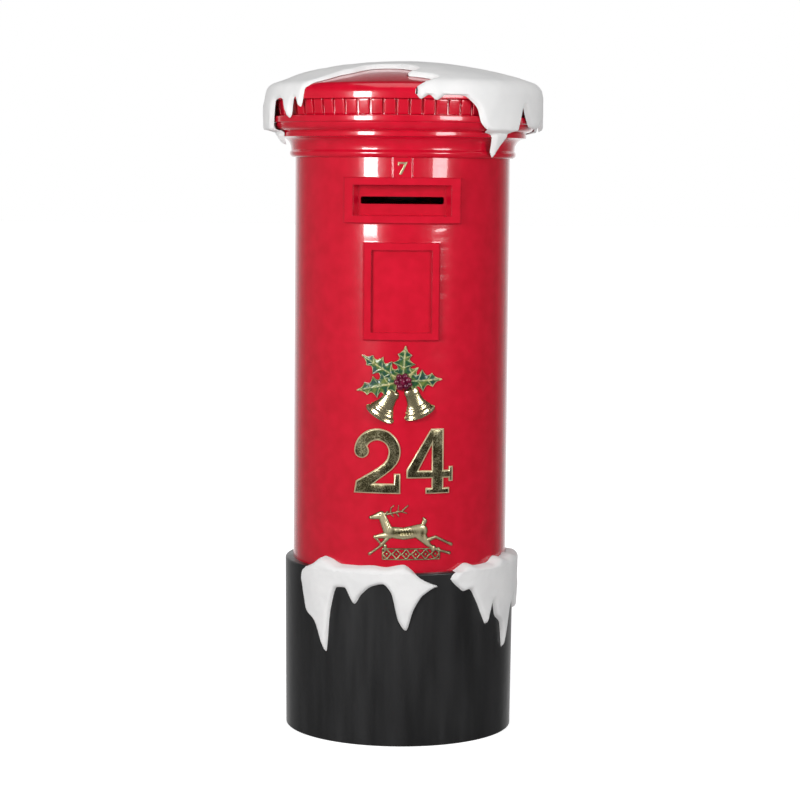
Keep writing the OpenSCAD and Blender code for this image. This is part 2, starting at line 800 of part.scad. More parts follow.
// The 4 has an upright with a slab foot, a slanting arm and a crossbar
module four_outline(w, h, s) {
    stem = 0.54 * w;
    bar_z = 0.24 * h;
    bar_h = 0.66 * s;
    translate([stem, 0]) square([s, h]);
    translate([stem - 0.5 * s, 0]) square([2 * s, 0.5 * s]);
    translate([0, bar_z]) square([w, bar_h]);
    polygon([
        [0, bar_z], [0, bar_z + bar_h + 2], [stem - 2, h], [stem + s - over, h],
        [stem + s - over, h - s], [stem, h - 1.15 * s], [0.26 * w, bar_z + bar_h - over], [0.26 * w, bar_z]
    ]);
    translate([w - 0.36 * s, bar_z - 0.3 * s]) square([0.36 * s, bar_h + 0.6 * s]);
}

numeral_w = 101;
numeral_stroke = 26;
// Left edges of the two numerals
two_x = -100;
four_x = 14;

module numeral_two() {
    color(gold) on_front(body_r + seat, body_r + seat + numeral_t, two_x, numeral_z, 1.5 * numeral_h)
        cast_edge() two_outline(numeral_w, numeral_h, numeral_stroke);
}

// Cut as its mirror image and turned back, which is the same casting
module numeral_four() {
    color(gold) mirror([1, 0, 0])
        on_front(body_r + seat, body_r + seat + numeral_t, -four_x - numeral_w, numeral_z, 1.5 * numeral_h)
            cast_edge() translate([numeral_w, 0]) mirror([1, 0])
                four_outline(numeral_w, numeral_h, numeral_stroke);
}

// Holly, berries and bells

// The sprig sits a little to the right of the middle
holly_x = 4;

// Half width of a leaf at share u of its length: sharp points with round scoops between
function leaf_half(u, w, points) = w * sin(180 * pow(u, 0.85)) * (1 - 0.5 * abs(sin(180 * points * u))) + 1.2;

module leaf(l, w, points) {
    steps = 4 * points;
    side = [for (i = [0:steps]) let(u = i / steps) [u * l, leaf_half(u, w, points)]];
    polygon(concat(side, [[l + 2, 0]], [for (i = [steps:-1:0]) [side[i][0], -side[i][1]]]));
}

// Each leaf as direction, length, half width and number of points a side
leaves = [[85.5, 76, 25, 4], [148, 104, 25, 5], [192, 100, 27, 5], [3, 84, 24, 4]];

module holly_outline() {
    for (f = leaves) rotate(f[0]) leaf(f[1], f[2], f[3]);
    circle(r = 14, $fn = 40);
}

module holly_leaves() {
    vein = 1.4;
    low = body_r + seat;
    color([0.20, 0.42, 0.24]) {
        on_front(low, low + holly_t, holly_x, holly_z, 140) cast_edge() holly_outline();
        for (f = leaves)
            on_front(low + holly_t - over, low + holly_t + vein, holly_x, holly_z, 140)
                rotate(f[0]) translate([20, -1.3]) square([f[1] - 32, 2.6]);
    }
}

module holly_berries() {
    back = body_r + holly_t + 2 * seat;
    spread = 1.6 * berry_r;
    color([0.38, 0.04, 0.10]) difference() {
        for (i = [0:6]) {
            a = 60 * i + 15;
            reach = i == 6 ? 0 : spread;
            translate([holly_x + reach * cos(a), -back - 0.35 * berry_r, holly_z + reach * sin(a)])
                sphere(r = berry_r, $fn = 40);
        }
        cylinder(r = back, h = cap_z, $fn = 180);
    }
}

// Half section of a bell, crown up, mouth at the origin
module bell_section(l, mouth) {
    crown = 0.40 * mouth;
    waist = [for (u = [0:0.125:1]) [mix(crown * 1.12, mouth * 0.86, pow(u, 2.4)), l * (0.90 - 0.78 * u)]];
    polygon(concat(
        [[0, l], [0.5 * crown, l], [crown, l * 0.955]], waist,
        [[mouth, 0.05 * l], [mouth * 0.97, 0], [0, 0]]
    ));
}

// A bell in relief, set square to the wall at angle a with its mouth swung by tilt
module bell(a, z, tilt, l, mouth) {
    difference() {
        rotate([0, 0, a]) translate([0, -body_r - seat, z]) rotate([0, tilt, 0])
            scale([1, bell_relief, 1]) rotate_extrude($fn = 28) bell_section(l, mouth);
        cylinder(r = body_r + seat, h = cap_z, $fn = 180);
        difference() {
            translate([holly_x, 0, holly_z]) rotate([90, 0, 0]) linear_extrude(height = body_r + 3 * holly_t)
                offset(delta = 0.4) holly_outline();
            ring(body_r + 5 * holly_t, body_r + seat + holly_t + 1.8, holly_z - 140, 280);
        }
        translate([holly_x, -body_r - holly_t, holly_z]) rotate([-90, 0, 0])
            translate([0, 0, -8 * berry_r]) cylinder(r = 2.65 * berry_r, h = 16 * berry_r, $fn = 40);
    }
}

module bell_left() {
    color(gold) bell(-10.8, bell_z, 31, 60, 34);
}

module bell_right() {
    color(gold) bell(10, bell_z + 3, -22, 58, 35);
}

// Leaping reindeer over a run of lozenges, cast as one

module deer_outline() {
    limb([-42, 8], [-14, 5], 12.5, 13.5);
    limb([-14, 5], [24, 12], 13.5, 14.5);
    limb([-48, 12], [-62, 44], 11, 8);
    limb([-64, 46], [-86, 43], 8.5, 4);
    limb([-55, 48], [-49, 55], 3, 1.5);
    limb([28, 24], [31, 39], 6, 4);
    limb([-44, 4], [-77, -3], 8, 3.2);
    limb([-77, -3], [-63, -20], 3, 2.6);
    limb([-54, -8], [-66, -24], 4.5, 3);
    limb([-66, -24], [-87, -40], 2.8, 3.4);
    limb([22, 6], [40, -19], 12, 5.5);
    limb([38, -10], [56, -3], 5, 3.6);
    limb([56, -3], [88, -20], 3.4, 3.8);
    limb([40, -19], [56, -30], 4.5, 3.2);
    limb([56, -30], [84, -39], 3, 3.8);
}

module antler_outline() {
    limb([-56, 46], [-38, 50], 2.6, 2.4);
    limb([-38, 50], [-18, 54.5], 2.4, 2.2);
    limb([-18, 54.5], [-5, 66.5], 2.2, 2.4);
    limb([-43, 50], [-42, 62], 2, 1.7);
    limb([-42, 62], [-35, 67], 1.7, 1.4);
    limb([-27, 53], [-26, 67], 1.9, 1.3);
    limb([-42, 48], [-36, 41.5], 1.8, 1.2);
    limb([-30, 50.5], [-24, 42], 1.8, 1.2);
    limb([-17, 53], [-8, 49.5], 1.8, 1.2);
}

// A row of open lozenges with a stud in each, between two thin rails
module lozenge_strip(l, h, count) {
    rail = 2.4;
    pitch = l / count;
    for (z = [0, h - rail]) translate([0, z]) square([l, rail]);
    for (i = [0:count - 1]) translate([(i + 0.5) * pitch, h / 2]) {
        difference() {
            polygon([[-pitch / 2, 0], [0, -h / 2 + 1], [pitch / 2, 0], [0, h / 2 - 1]]);
            polygon([[-pitch / 2 + 4.5, 0], [0, -h / 2 + 5], [pitch / 2 - 4.5, 0], [0, h / 2 - 5]]);
        }
        circle(r = 3, $fn = 24);
        square([1.6, h - 4], center = true);
    }
    for (x = [0, l - rail]) translate([x, 0]) square([rail, h]);
}

deer_x = 23;

module reindeer_casting() {
    low = body_r + seat;
    color(gold) {
        on_front(low, low + deer_t, deer_x, deer_z, 90) cast_edge() {
            deer_outline();
            antler_outline();
            translate([-61, -53]) lozenge_strip(127, 26, 6);
            translate([-58, -30]) square([8, 12]);
            translate([44, -30]) square([14, 6]);
        }
        on_front(low + deer_t - over, low + deer_t + 1.5, deer_x, deer_z, 90) cast_edge() {
            limb([-40, 8], [-14, 6], 9, 10);
            limb([-14, 6], [22, 11], 10, 11);
            limb([-50, 16], [-61, 41], 7, 5);
        }
    }
}

// Rear door and its hinges

module rear_door() {
    color(red) difference() {
        intersection() {
            ring(body_r, inner_r, door_z, door_h);
            through_back(door_mid)
                soft_rect(door_w - 2 * door_gap, door_h - 2 * door_gap, door_r - door_gap);
        }
        at_lock() translate([0, inner_r - 3 * wall, 0]) rotate([-90, 0, 0])
            cylinder(r = lock_r + hole_fit, h = 6 * wall, $fn = 48);
        rivet_places(-1) rivet_shank(rivet_r + thread_fit);
    }
}

module door_seal() {
    side = 3;
    color([0.08, 0.08, 0.08]) difference() {
        intersection() {
            ring(inner_r - seal_gap, seat_r, door_z - over, door_h + 2 * over);
            through_back(door_mid) soft_rect(door_w - 2 * side, door_h - 2 * side, door_r - side);
        }
        through_back(door_mid)
            soft_rect(door_w - 2 * seat_w + 2 * side, door_h - 2 * seat_w + 2 * side, door_r);
    }
}

// Places of the two hinges' middles
hinge_z = [door_mid + hinge_pitch / 2, door_mid - hinge_pitch / 2];

// Side 1 is the frame's leaf and side -1 the door's
module rivet_places(side) {
    for (z = hinge_z, s = [-1, 1])
        rotate([0, 0, -pin_a - side * rivet_out / body_r * 180 / PI])
            translate([0, inner_r - 2 * wall, z + s * hinge_l * 0.3]) rotate([-90, 0, 0]) children();
}

module rivet_shank(r) {
    cylinder(r = r, h = 4 * wall, $fn = 24);
}

module rivets(side) {
    head_r = 2 * rivet_r;
    tail = 2 * wall - 2.3;
    head = 3 * wall + seat + leaf_t;
    rivet_places(side) {
        translate([0, 0, tail]) cylinder(r = rivet_r, h = head + 1 - tail, $fn = 24);
        translate([0, 0, tail - 0.5]) cylinder(r = 1.5 * rivet_r, h = 2, $fn = 24);
        translate([0, 0, head + 0.1]) cylinder(r = head_r, h = 0.8, $fn = 32);
        translate([0, 0, head + 0.9]) cylinder(r = 0.7 * head_r, h = 0.7, $fn = 32);
    }
}

module pin_axis() {
    rotate([0, 0, -pin_a]) translate([0, pin_line, 0]) children();
}

// The frame's leaf (side 1) has the outer knuckles and the door's leaf (side -1) the middle one
module hinge_leaf(z, side) {
    root = knuckle_r / 2 / leaf_r * 180 / PI;
    near = (knuckle_r + 0.8) / leaf_r * 180 / PI;
    far = leaf_w / leaf_r * 180 / PI;
    low = z - hinge_l / 2;
    pitch = knuckle_l + knuckle_gap;
    slack = knuckle_gap + 0.2;
    own = side > 0 ? [0, 2] : [1];
    other = side > 0 ? [1] : [0, 2];
    difference() {
        union() {
            arc_plate(leaf_r, leaf_r + leaf_t, side > 0 ? pin_a + root : pin_a - far,
                side > 0 ? pin_a + far : pin_a - root, low, hinge_l);
            for (k = own) pin_axis() translate([0, 0, low + k * pitch])
                cylinder(r = knuckle_r, h = knuckle_l, $fn = 48);
        }
        for (k = other) {
            from = k == 0 ? low - over : low + k * pitch - slack;
            to = k == 2 ? low + hinge_l + over : low + k * pitch + knuckle_l + slack;
            arc_plate(leaf_r - over, leaf_r + leaf_t + over, side > 0 ? pin_a - 1 : pin_a - near,
                side > 0 ? pin_a + near : pin_a + 1, from, to - from);
        }
        pin_axis() translate([0, 0, low - over])
            cylinder(r = pin_r + pin_fit, h = hinge_l + 2 * over, $fn = 48);
        rivet_places(side) rivet_shank(rivet_r + thread_fit);
    }
}

module hinge_pin(z) {
    cap_h = 1.5;
    pin_axis() {
        for (s = [-1, 1])
            translate([0, 0, z + s * (hinge_l / 2 + cap_h / 2 + 0.1)])
                cylinder(r = pin_r + 1, h = cap_h, center = true, $fn = 48);
        translate([0, 0, z - hinge_l / 2 - 0.5]) cylinder(r = pin_r, h = hinge_l + 1, $fn = 48);
    }
}

module upper_hinge_frame_leaf() {
    color(steel) hinge_leaf(hinge_z[0], 1);
}

module upper_hinge_door_leaf() {
    color(steel) hinge_leaf(hinge_z[0], -1);
}

module upper_hinge_pin() {
    color(steel) hinge_pin(hinge_z[0]);
}

module lower_hinge_frame_leaf() {
    color(steel) hinge_leaf(hinge_z[1], 1);
}

module lower_hinge_door_leaf() {
    color(steel) hinge_leaf(hinge_z[1], -1);
}

module lower_hinge_pin() {
    color(steel) hinge_pin(hinge_z[1]);
}

module frame_rivets() {
    color(steel) rivets(1);
}

module door_rivets() {
    color(steel) rivets(-1);
}

// Cam lock

module at_lock() {
    translate([0, 0, door_mid]) rotate([0, 0, lock_a]) children();
}

// A round bar along the lock's axis, between two distances from the body's axis
module lock_bar(r, y0, y1) {
    translate([0, y0, 0]) rotate([-90, 0, 0]) cylinder(r = r, h = y1 - y0, $fn = 48);
}

housing_end = cam_y + 0.2;
flange_y = body_r + 0.1;

module lock_housing() {
    color(steel) at_lock() difference() {
        union() {
            lock_bar(lock_r, housing_end, flange_y + over);
            lock_bar(lock_flange_r, flange_y, flange_y + lock_flange_t);
        }
        lock_bar(plug_r + pin_fit, housing_end - over, flange_y + lock_flange_t + over);
    }
}

module lock_nut() {
    face_y = sqrt(inner_r * inner_r - lock_nut_r * lock_nut_r) - 0.1;
    color(steel) at_lock() difference() {
        translate([0, face_y, 0]) rotate([90, 0, 0]) cylinder(r = lock_nut_r, h = lock_nut_t, $fn = 6);
        lock_bar(lock_r + thread_fit, face_y - 2 * lock_nut_t, face_y + over);
    }
}

module lock_plug() {
    face_y = flange_y + lock_flange_t - 0.4;
    color([0.80, 0.66, 0.36]) at_lock() difference() {
        union() {
            lock_bar(plug_r, cam_y, face_y);
            translate([-tenon / 2, cam_y - cam_t, -tenon / 2]) cube([tenon, cam_t + over, tenon]);
        }
        lock_bar(2 + thread_fit, cam_y - cam_t - over, cam_y + 8);
        translate([-0.8, face_y - 4, -3.5]) cube([1.6, 4 + over, 7]);
    }
}

// At rest the cam hangs down, clear of the flange, so that the door is free
module lock_cam() {
    tip_r = 0.8 * cam_r;
    color(steel) at_lock() difference() {
        translate([0, cam_y, 0]) rotate([90, 0, 0]) linear_extrude(height = cam_t) {
            circle(r = cam_r, $fn = 48);
            translate([-tip_r, -cam_reach + tip_r]) square([2 * tip_r, cam_reach - tip_r]);
            translate([0, -cam_reach + tip_r]) circle(r = tip_r, $fn = 48);
        }
        hole = tenon + 2 * thread_fit;
        translate([-hole / 2, cam_y - cam_t - over, -hole / 2]) cube([hole, cam_t + 2 * over, hole]);
    }
}

module cam_screw() {
    head_y = cam_y - cam_t - 0.1;
    color(steel) at_lock() {
        lock_bar(5.5, head_y - 2.5, head_y);
        lock_bar(2, head_y - over, cam_y + 7);
    }
}

// Flange bolts of the cap and of the floor

module cap_bolts() {
    low = cap_z - flange_t - washer_t;
    color(steel) round_bolts(low) bolt(2 * flange_t + 2 * washer_t + nut_t + 2);
}

module cap_washers() {
    color(steel) {
        round_bolts(cap_z - flange_t - washer_t) washer();
        round_bolts(cap_z + flange_t) washer();
    }
}

module cap_nuts() {
    color(steel) round_bolts(cap_z + flange_t + washer_t) nut();
}

module floor_bolts() {
    grip = floor_board_t + 2 * flange_t;
    high = plinth_h + flange_t + floor_board_t + washer_t;
    color(steel) round_bolts(high) rotate([180, 0, 0]) bolt(grip + 2 * washer_t + nut_t + 2);
}

module floor_washers() {
    color(steel) {
        round_bolts(plinth_h + flange_t + floor_board_t) washer();
        round_bolts(plinth_h - flange_t - washer_t) washer();
    }
}

module floor_nuts() {
    color(steel) round_bolts(plinth_h - flange_t - washer_t - nut_t) nut();
}

plinth();
base_board();
base_screws();
floor_board();
body_shell();
cap();
block_course();
cap_snow();
plinth_snow_left();
plinth_snow_right();
number_seven();
numeral_two();
numeral_four();
holly_leaves();
holly_berries();
bell_left();
bell_right();
reindeer_casting();
rear_door();
door_seal();
upper_hinge_frame_leaf();
upper_hinge_door_leaf();
upper_hinge_pin();
lower_hinge_frame_leaf();
lower_hinge_door_leaf();
lower_hinge_pin();
frame_rivets();
door_rivets();
lock_housing();
lock_nut();
lock_plug();
lock_cam();
cam_screw();
cap_bolts();
cap_washers();
cap_nuts();
floor_bolts();
floor_washers();
floor_nuts();
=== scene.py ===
# A round Christmas letter box of moulded plastic with relief snow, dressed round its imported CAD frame.
# Metres, +Z up, front towards -Y. Sizes in the sections are in millimetres, times mm.
import math
import bpy
import numpy as np
from mathutils import Matrix, Vector, noise


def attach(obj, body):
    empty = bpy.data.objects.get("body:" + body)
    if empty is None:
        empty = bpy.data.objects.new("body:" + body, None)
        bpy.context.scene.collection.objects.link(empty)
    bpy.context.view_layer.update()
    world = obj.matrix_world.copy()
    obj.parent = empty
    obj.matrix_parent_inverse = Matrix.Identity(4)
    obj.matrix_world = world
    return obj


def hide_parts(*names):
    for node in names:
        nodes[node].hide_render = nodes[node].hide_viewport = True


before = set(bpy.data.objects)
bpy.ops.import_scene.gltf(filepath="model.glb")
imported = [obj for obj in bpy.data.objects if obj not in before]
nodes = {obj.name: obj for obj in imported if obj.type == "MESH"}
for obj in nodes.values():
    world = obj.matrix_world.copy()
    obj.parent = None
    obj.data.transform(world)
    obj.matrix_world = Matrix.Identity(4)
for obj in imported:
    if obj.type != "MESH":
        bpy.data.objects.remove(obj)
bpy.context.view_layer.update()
mm = 0.001
bpy.ops.object.select_all(action="DESELECT")

# Plinth
# A hollow black moulding, a little narrower at its foot, with an inward flange at top and bottom.
# The real one is laid up in a mould and painted, so its edges are soft and its satin face is uneven.


def shader_node(tree, kind, values=None, links=None, **settings):
    """A node in the tree, with socket values and incoming links given by socket name or number."""
    made = tree.nodes.new(kind)
    for key, value in settings.items():
        setattr(made, key, value)
    for key, value in (values or {}).items():
        made.inputs[key].default_value = value
    for key, source in (links or {}).items():
        tree.links.new(source, made.inputs[key])
    return made


def ramp(tree, source, stops, interpolation="LINEAR"):
    """A colour ramp through (place, colour) stops. A number stands for a grey."""
    made = shader_node(tree, "ShaderNodeValToRGB", links={"Fac": source})
    made.color_ramp.interpolation = interpolation
    band = made.color_ramp.elements
    while len(band) < len(stops):
        band.new(0.5)
    for spot, (place, tone) in zip(band, stops):
        spot.position = place
        spot.color = (*tone, 1) if isinstance(tone, tuple) else (tone, tone, tone, 1)
    return made.outputs["Color"]


def blend_colour(tree, share, first, second):
    """Mixes two colours. Each is a socket or a plain colour."""
    made = shader_node(tree, "ShaderNodeMix", data_type="RGBA")
    tree.links.new(share, made.inputs[0])
    for place, tone in ((6, first), (7, second)):
        if isinstance(tone, tuple):
            made.inputs[place].default_value = (*tone, 1)
        else:
            tree.links.new(tone, made.inputs[place])
    return made.outputs[2]


def maths(tree, operation, first, second=0.5, clamp=False):
    """A sum of two values. Each is a socket or a number."""
    made = shader_node(tree, "ShaderNodeMath", operation=operation, use_clamp=clamp)
    for place, value in enumerate((first, second)):
        if isinstance(value, (int, float)):
            made.inputs[place].default_value = value
        else:
            tree.links.new(value, made.inputs[place])
    return made.outputs[0]


def soft_noise(tree, place, scale, detail):
    """Noise between 0 and 1 all over the surface."""
    made = shader_node(tree, "ShaderNodeTexNoise", {"Scale": scale, "Detail": detail}, {"Vector": place})
    return made.outputs[0]


def stretched(tree, place, scale, turn=(0, 0, 0)):
    """The place scaled and turned, for a pattern that runs one way."""
    made = shader_node(tree, "ShaderNodeMapping", {"Scale": scale, "Rotation": turn}, {"Vector": place})
    return made.outputs[0]


def new_finish(name, **shader):
    """A material with a Principled shader. Returns material, tree, shader and the object coordinates."""
    made = bpy.data.materials.new(name)
    made.use_nodes = True
    tree = made.node_tree
    gloss = tree.nodes["Principled BSDF"]
    for key, value in shader.items():
        gloss.inputs[key.replace("_", " ")].default_value = value
    place = shader_node(tree, "ShaderNodeTexCoord").outputs["Object"]
    return made, tree, gloss, place


def paint(tree, gloss, source, stops, socket="Base Color"):
    """Feeds one socket of the shader from a ramp."""
    tree.links.new(ramp(tree, source, stops), gloss.inputs[socket])


def bump(tree, gloss, height, strength, distance, socket="Normal", **links):
    """Feeds one normal of the shader from a height."""
    links["Height"] = height
    made = shader_node(tree, "ShaderNodeBump", {"Strength": strength, "Distance": distance}, links)
    tree.links.new(made.outputs["Normal"], gloss.inputs[socket])


def shader_group(name, inputs, outputs):
    """An empty shader group with its sockets. Inputs are (name, kind, default)."""
    made = bpy.data.node_groups.new(name, "ShaderNodeTree")
    for label, kind, default in inputs:
        socket = made.interface.new_socket(label, in_out="INPUT", socket_type="NodeSocket" + kind)
        if default is not None:
            socket.default_value = default
    for label, kind in outputs:
        made.interface.new_socket(label, in_out="OUTPUT", socket_type="NodeSocket" + kind)
    return made, made.nodes.new("NodeGroupInput"), made.nodes.new("NodeGroupOutput")


# Waves of a hand-laid moulding: long swells, shorter ripples and a fine orange peel
moulded_waves, waves_in, waves_out = shader_group(
    "moulded_waves",
    [("Place", "Vector", None), ("Swell", "Float", 1.0), ("Ripple", "Float", 1.0), ("Peel", "Float", 1.0)],
    [("Height", "Float"), ("Mottle", "Float")],
)
swell = soft_noise(moulded_waves, waves_in.outputs["Place"], 7.0, 1.0)
ripple = soft_noise(moulded_waves, waves_in.outputs["Place"], 34.0, 1.5)
peel = soft_noise(moulded_waves, waves_in.outputs["Place"], 420.0, 2.0)
height = maths(moulded_waves, "MULTIPLY", swell, waves_in.outputs["Swell"])
for layer, label in ((ripple, "Ripple"), (peel, "Peel")):
    layer = maths(moulded_waves, "MULTIPLY", layer, waves_in.outputs[label])
    height = maths(moulded_waves, "ADD", height, layer)
moulded_waves.links.new(height, waves_out.inputs["Height"])
moulded_waves.links.new(ripple, waves_out.inputs["Mottle"])


def waves(tree, place, swell, ripple, peel):
    """Places the waves in a material. Returns their height and a mottle for the colour."""
    made = shader_node(tree, "ShaderNodeGroup", node_tree=moulded_waves)
    tree.links.new(place, made.inputs["Place"])
    for label, value in (("Swell", swell), ("Ripple", ripple), ("Peel", peel)):
        made.inputs[label].default_value = value
    return made.outputs["Height"], made.outputs["Mottle"]


def arc(x, z, r, start, end, steps):
    """Points on an arc in the half section, angles in degrees from +X towards +Z."""
    turns = [math.radians(start + (end - start) * i / steps) for i in range(steps + 1)]
    return [(x + r * math.cos(t), z + r * math.sin(t)) for t in turns]


def pick(*pieces):
    """Selects these pieces alone and makes the first one active."""
    bpy.ops.object.select_all(action="DESELECT")
    for piece in pieces:
        piece.select_set(True)
    bpy.context.view_layer.objects.active = pieces[0]


def set_up(name, data):
    """A new object in the scene, selected alone."""
    piece = bpy.data.objects.new(name, data)
    bpy.context.scene.collection.objects.link(piece)
    pick(piece)
    return piece


def edit_all():
    bpy.ops.object.mode_set(mode="EDIT")
    bpy.ops.mesh.select_all(action="SELECT")


def merge_and_face_out():
    """Merges doubled points, turns every face outwards and leaves edit mode."""
    bpy.ops.mesh.select_all(action="SELECT")
    bpy.ops.mesh.remove_doubles(threshold=2e-6)
    bpy.ops.mesh.normals_make_consistent(inside=False)
    bpy.ops.object.mode_set(mode="OBJECT")


def lathe(name, section, steps):
    """Spins a closed half section, given in millimetres, into a solid ring."""
    mesh = bpy.data.meshes.new(name)
    n = len(section)
    mesh.from_pydata([(x * mm, 0, z * mm) for x, z in section], [(i, (i + 1) % n) for i in range(n)], [])
    piece = set_up(name, mesh)
    edit_all()
    bpy.ops.mesh.spin(steps=steps, angle=math.tau, center=(0, 0, 0), axis=(0, 0, 1))
    merge_and_face_out()
    return piece


def smooth(piece, angle=40):
    """Shades a piece smooth where its faces meet at less than the angle."""
    pick(piece)
    bpy.ops.object.shade_smooth_by_angle(angle=math.radians(angle))
    return piece


def dress(piece, finish, body, slot, *replaced):
    """Gives a finished piece its material and body, and hides the CAD nodes that it stands for. slot is not
    used.
    """
    piece.data.materials.clear()
    piece.data.materials.append(finish)
    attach(piece, body)
    if replaced:
        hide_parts(*replaced)
    return piece


def coat_node(finish, *names):
    """Gives CAD nodes a material."""
    for name in names:
        nodes[name].data.materials.clear()
        nodes[name].data.materials.append(finish)


satin_black, tree, gloss, place = new_finish(
    "satin_black_paint", Specular_IOR_Level=0.42, Coat_Weight=0.25, Coat_Roughness=0.22)
height = waves(tree, place, 0.6, 0.5, 0.10)[0]
brushed = soft_noise(tree, stretched(tree, place, (26.0, 26.0, 3.0)), 1.0, 3.0)
paint(tree, gloss, brushed, [(0.35, (0.016, 0.016, 0.0165)), (0.7, (0.031, 0.031, 0.032))])
paint(tree, gloss, brushed, [(0.3, 0.30), (0.75, 0.46)], "Roughness")
bump(tree, gloss, height, 0.25, 0.004)

# Height, radius at the top and at the foot, and the flanges' inner radius and thickness
PLINTH_Z, PLINTH_R, FOOT_R = 381.0, 258.5, 255.0
FLANGE_R, FLANGE_T = 200.0, 6.0
FOOT_EDGE, TOP_EDGE, WALL_T = 1.8, 4.0, 5.0
plinth = lathe(
    "plinth_moulding",
    [(FLANGE_R, FLANGE_T), (FLANGE_R, 0)] + arc(FOOT_R - FOOT_EDGE, FOOT_EDGE, FOOT_EDGE, -90, 0, 4)
    + arc(PLINTH_R - TOP_EDGE, PLINTH_Z - TOP_EDGE, TOP_EDGE, 2, 90, 8)
    + [(FLANGE_R, PLINTH_Z), (FLANGE_R, PLINTH_Z - FLANGE_T), (PLINTH_R - 0.5 - WALL_T, PLINTH_Z - FLANGE_T),
       (FOOT_R - WALL_T, FLANGE_T)],
    192,
)
dress(smooth(plinth), satin_black, "shell", "black_shell", "plinth")

# Boards
# Two round plywood boards: one closes the plinth's foot, the other is the floor that letters fall on.
# Cut from birch plywood and left bare, so the plies show on their edges.
plywood, tree, gloss, place = new_finish("birch_plywood", Roughness=0.6, Specular_IOR_Level=0.3)
grain = soft_noise(tree, stretched(tree, place, (4.0, 60.0, 4.0)), 2.0, 5.0)
face_tone = ramp(tree, grain, [(0.3, (0.50, 0.35, 0.19)), (0.7, (0.66, 0.50, 0.31))])
high = shader_node(tree, "ShaderNodeSeparateXYZ", links={0: place}).outputs[2]
ply = maths(tree, "PINGPONG", high, 0.0015)
edge_tone = ramp(tree, maths(tree, "MULTIPLY", ply, 660.0), [
    (0.35, (0.34, 0.22, 0.12)), (0.6, (0.62, 0.47, 0.29))])
facing = shader_node(tree, "ShaderNodeNewGeometry").outputs["Normal"]
upright = maths(tree, "ABSOLUTE", shader_node(tree, "ShaderNodeSeparateXYZ", links={0: facing}).outputs[2])
tree.links.new(blend_colour(tree, upright, edge_tone, face_tone), gloss.inputs["Base Color"])
bump(tree, gloss, grain, 0.2, 0.0005)
coat_node(plywood, "base_board", "floor_board")

# Fixings
# Bright zinc-plated bolts, washers, nuts and screws, steel hinges with their rivets, and a cam lock.
# They are pressed and turned, with the fine lines that those leave.
zinc, tree, gloss, place = new_finish("zinc_plated_steel", Metallic=1.0)
lines = soft_noise(tree, stretched(tree, place, (300.0, 300.0, 2600.0)), 1.0, 2.0)
clouds = soft_noise(tree, place, 70.0, 3.0)
paint(tree, gloss, clouds, [(0.35, (0.52, 0.53, 0.55)), (0.65, (0.68, 0.69, 0.70))])
paint(tree, gloss, lines, [(0.3, 0.24), (0.7, 0.40)], "Roughness")
bump(tree, gloss, lines, 0.12, 0.0003)
coat_node(
    zinc, "base_screws", "floor_bolts", "floor_washers", "floor_nuts", "cap_bolts", "cap_washers", "cap_nuts",
    "upper_hinge_frame_leaf", "upper_hinge_door_leaf", "upper_hinge_pin",
    "lower_hinge_frame_leaf", "lower_hinge_door_leaf", "lower_hinge_pin",
    "frame_rivets", "door_rivets", "lock_housing", "lock_nut", "lock_cam", "cam_screw",
)
lock_brass, tree, gloss, place = new_finish("turned_brass", Metallic=1.0, Roughness=0.28)
worn = soft_noise(tree, place, 260.0, 3.0)
paint(tree, gloss, worn, [(0.35, (0.48, 0.33, 0.12)), (0.65, (0.72, 0.53, 0.24))])
coat_node(lock_brass, "lock_plug")

# Body
# One red moulding: a tube with the raised frame and recess of the posting slot, the empty notice frame
# and the number tablet on its front, and the opening for the door at the back.
BODY_R, INNER_R, CAP_Z = 241.0, 236.0, 1281.0
SLOT_Z, NOTICE_Z, DOOR_Z = 1189.0, 993.0, 740.0
# Half widths and heights of the front's features, and how far they stand out
FRAME_W, FRAME_H, FRAME_OUT = 127.0, 49.0, 12.0
RECESS_W, RECESS_BACK_W, RECESS_H, RECESS_Y = 108.0, 94.0, 33.0, 205.0
SLOT_W, SLOT_H, SLOT_R = 90.0, 8.0, 4.0
NOTICE_W, NOTICE_H, NOTICE_BAR, NOTICE_OUT = 82.0, 105.0, 16.5, 10.0
TABLET_W, TABLET_OUT = 21.5, 3.0
DOOR_W, DOOR_H, DOOR_R = 145.0, 260.0, 22.0
opening_w, opening_h = NOTICE_W - NOTICE_BAR, NOTICE_H - NOTICE_BAR


def above_skin(tree, place, low, high):
    """0 to 1 between two radii round the box's axis, in millimetres."""
    flat = shader_node(tree, "ShaderNodeVectorMath", {1: (1, 1, 0)}, {0: place}, operation="MULTIPLY")
    far = shader_node(tree, "ShaderNodeVectorMath", links={0: flat.outputs[0]}, operation="LENGTH")
    over = maths(tree, "SUBTRACT", far.outputs["Value"], low * mm)
    return maths(tree, "MULTIPLY", over, 1 / ((high - low) * mm), clamp=True)


def distance_from(tree, socket, value):
    """How far a coordinate is from a value in millimetres, in metres."""
    return maths(tree, "ABSOLUTE", maths(tree, "SUBTRACT", socket, value * mm))


gloss_red, tree, gloss, place = new_finish(
    "gloss_red_gelcoat", Roughness=0.22, Specular_IOR_Level=0.5, Coat_Weight=1.0, Coat_Roughness=0.035)
height, mottle = waves(tree, place, 1.0, 0.42, 0.012)
paint(tree, gloss, mottle, [(0.3, (0.60, 0.0015, 0.020)), (0.7, (0.68, 0.003, 0.026))])
sides = shader_node(tree, "ShaderNodeSeparateXYZ", links={0: place})
in_front = maths(tree, "LESS_THAN", sides.outputs["Y"], 0.0)
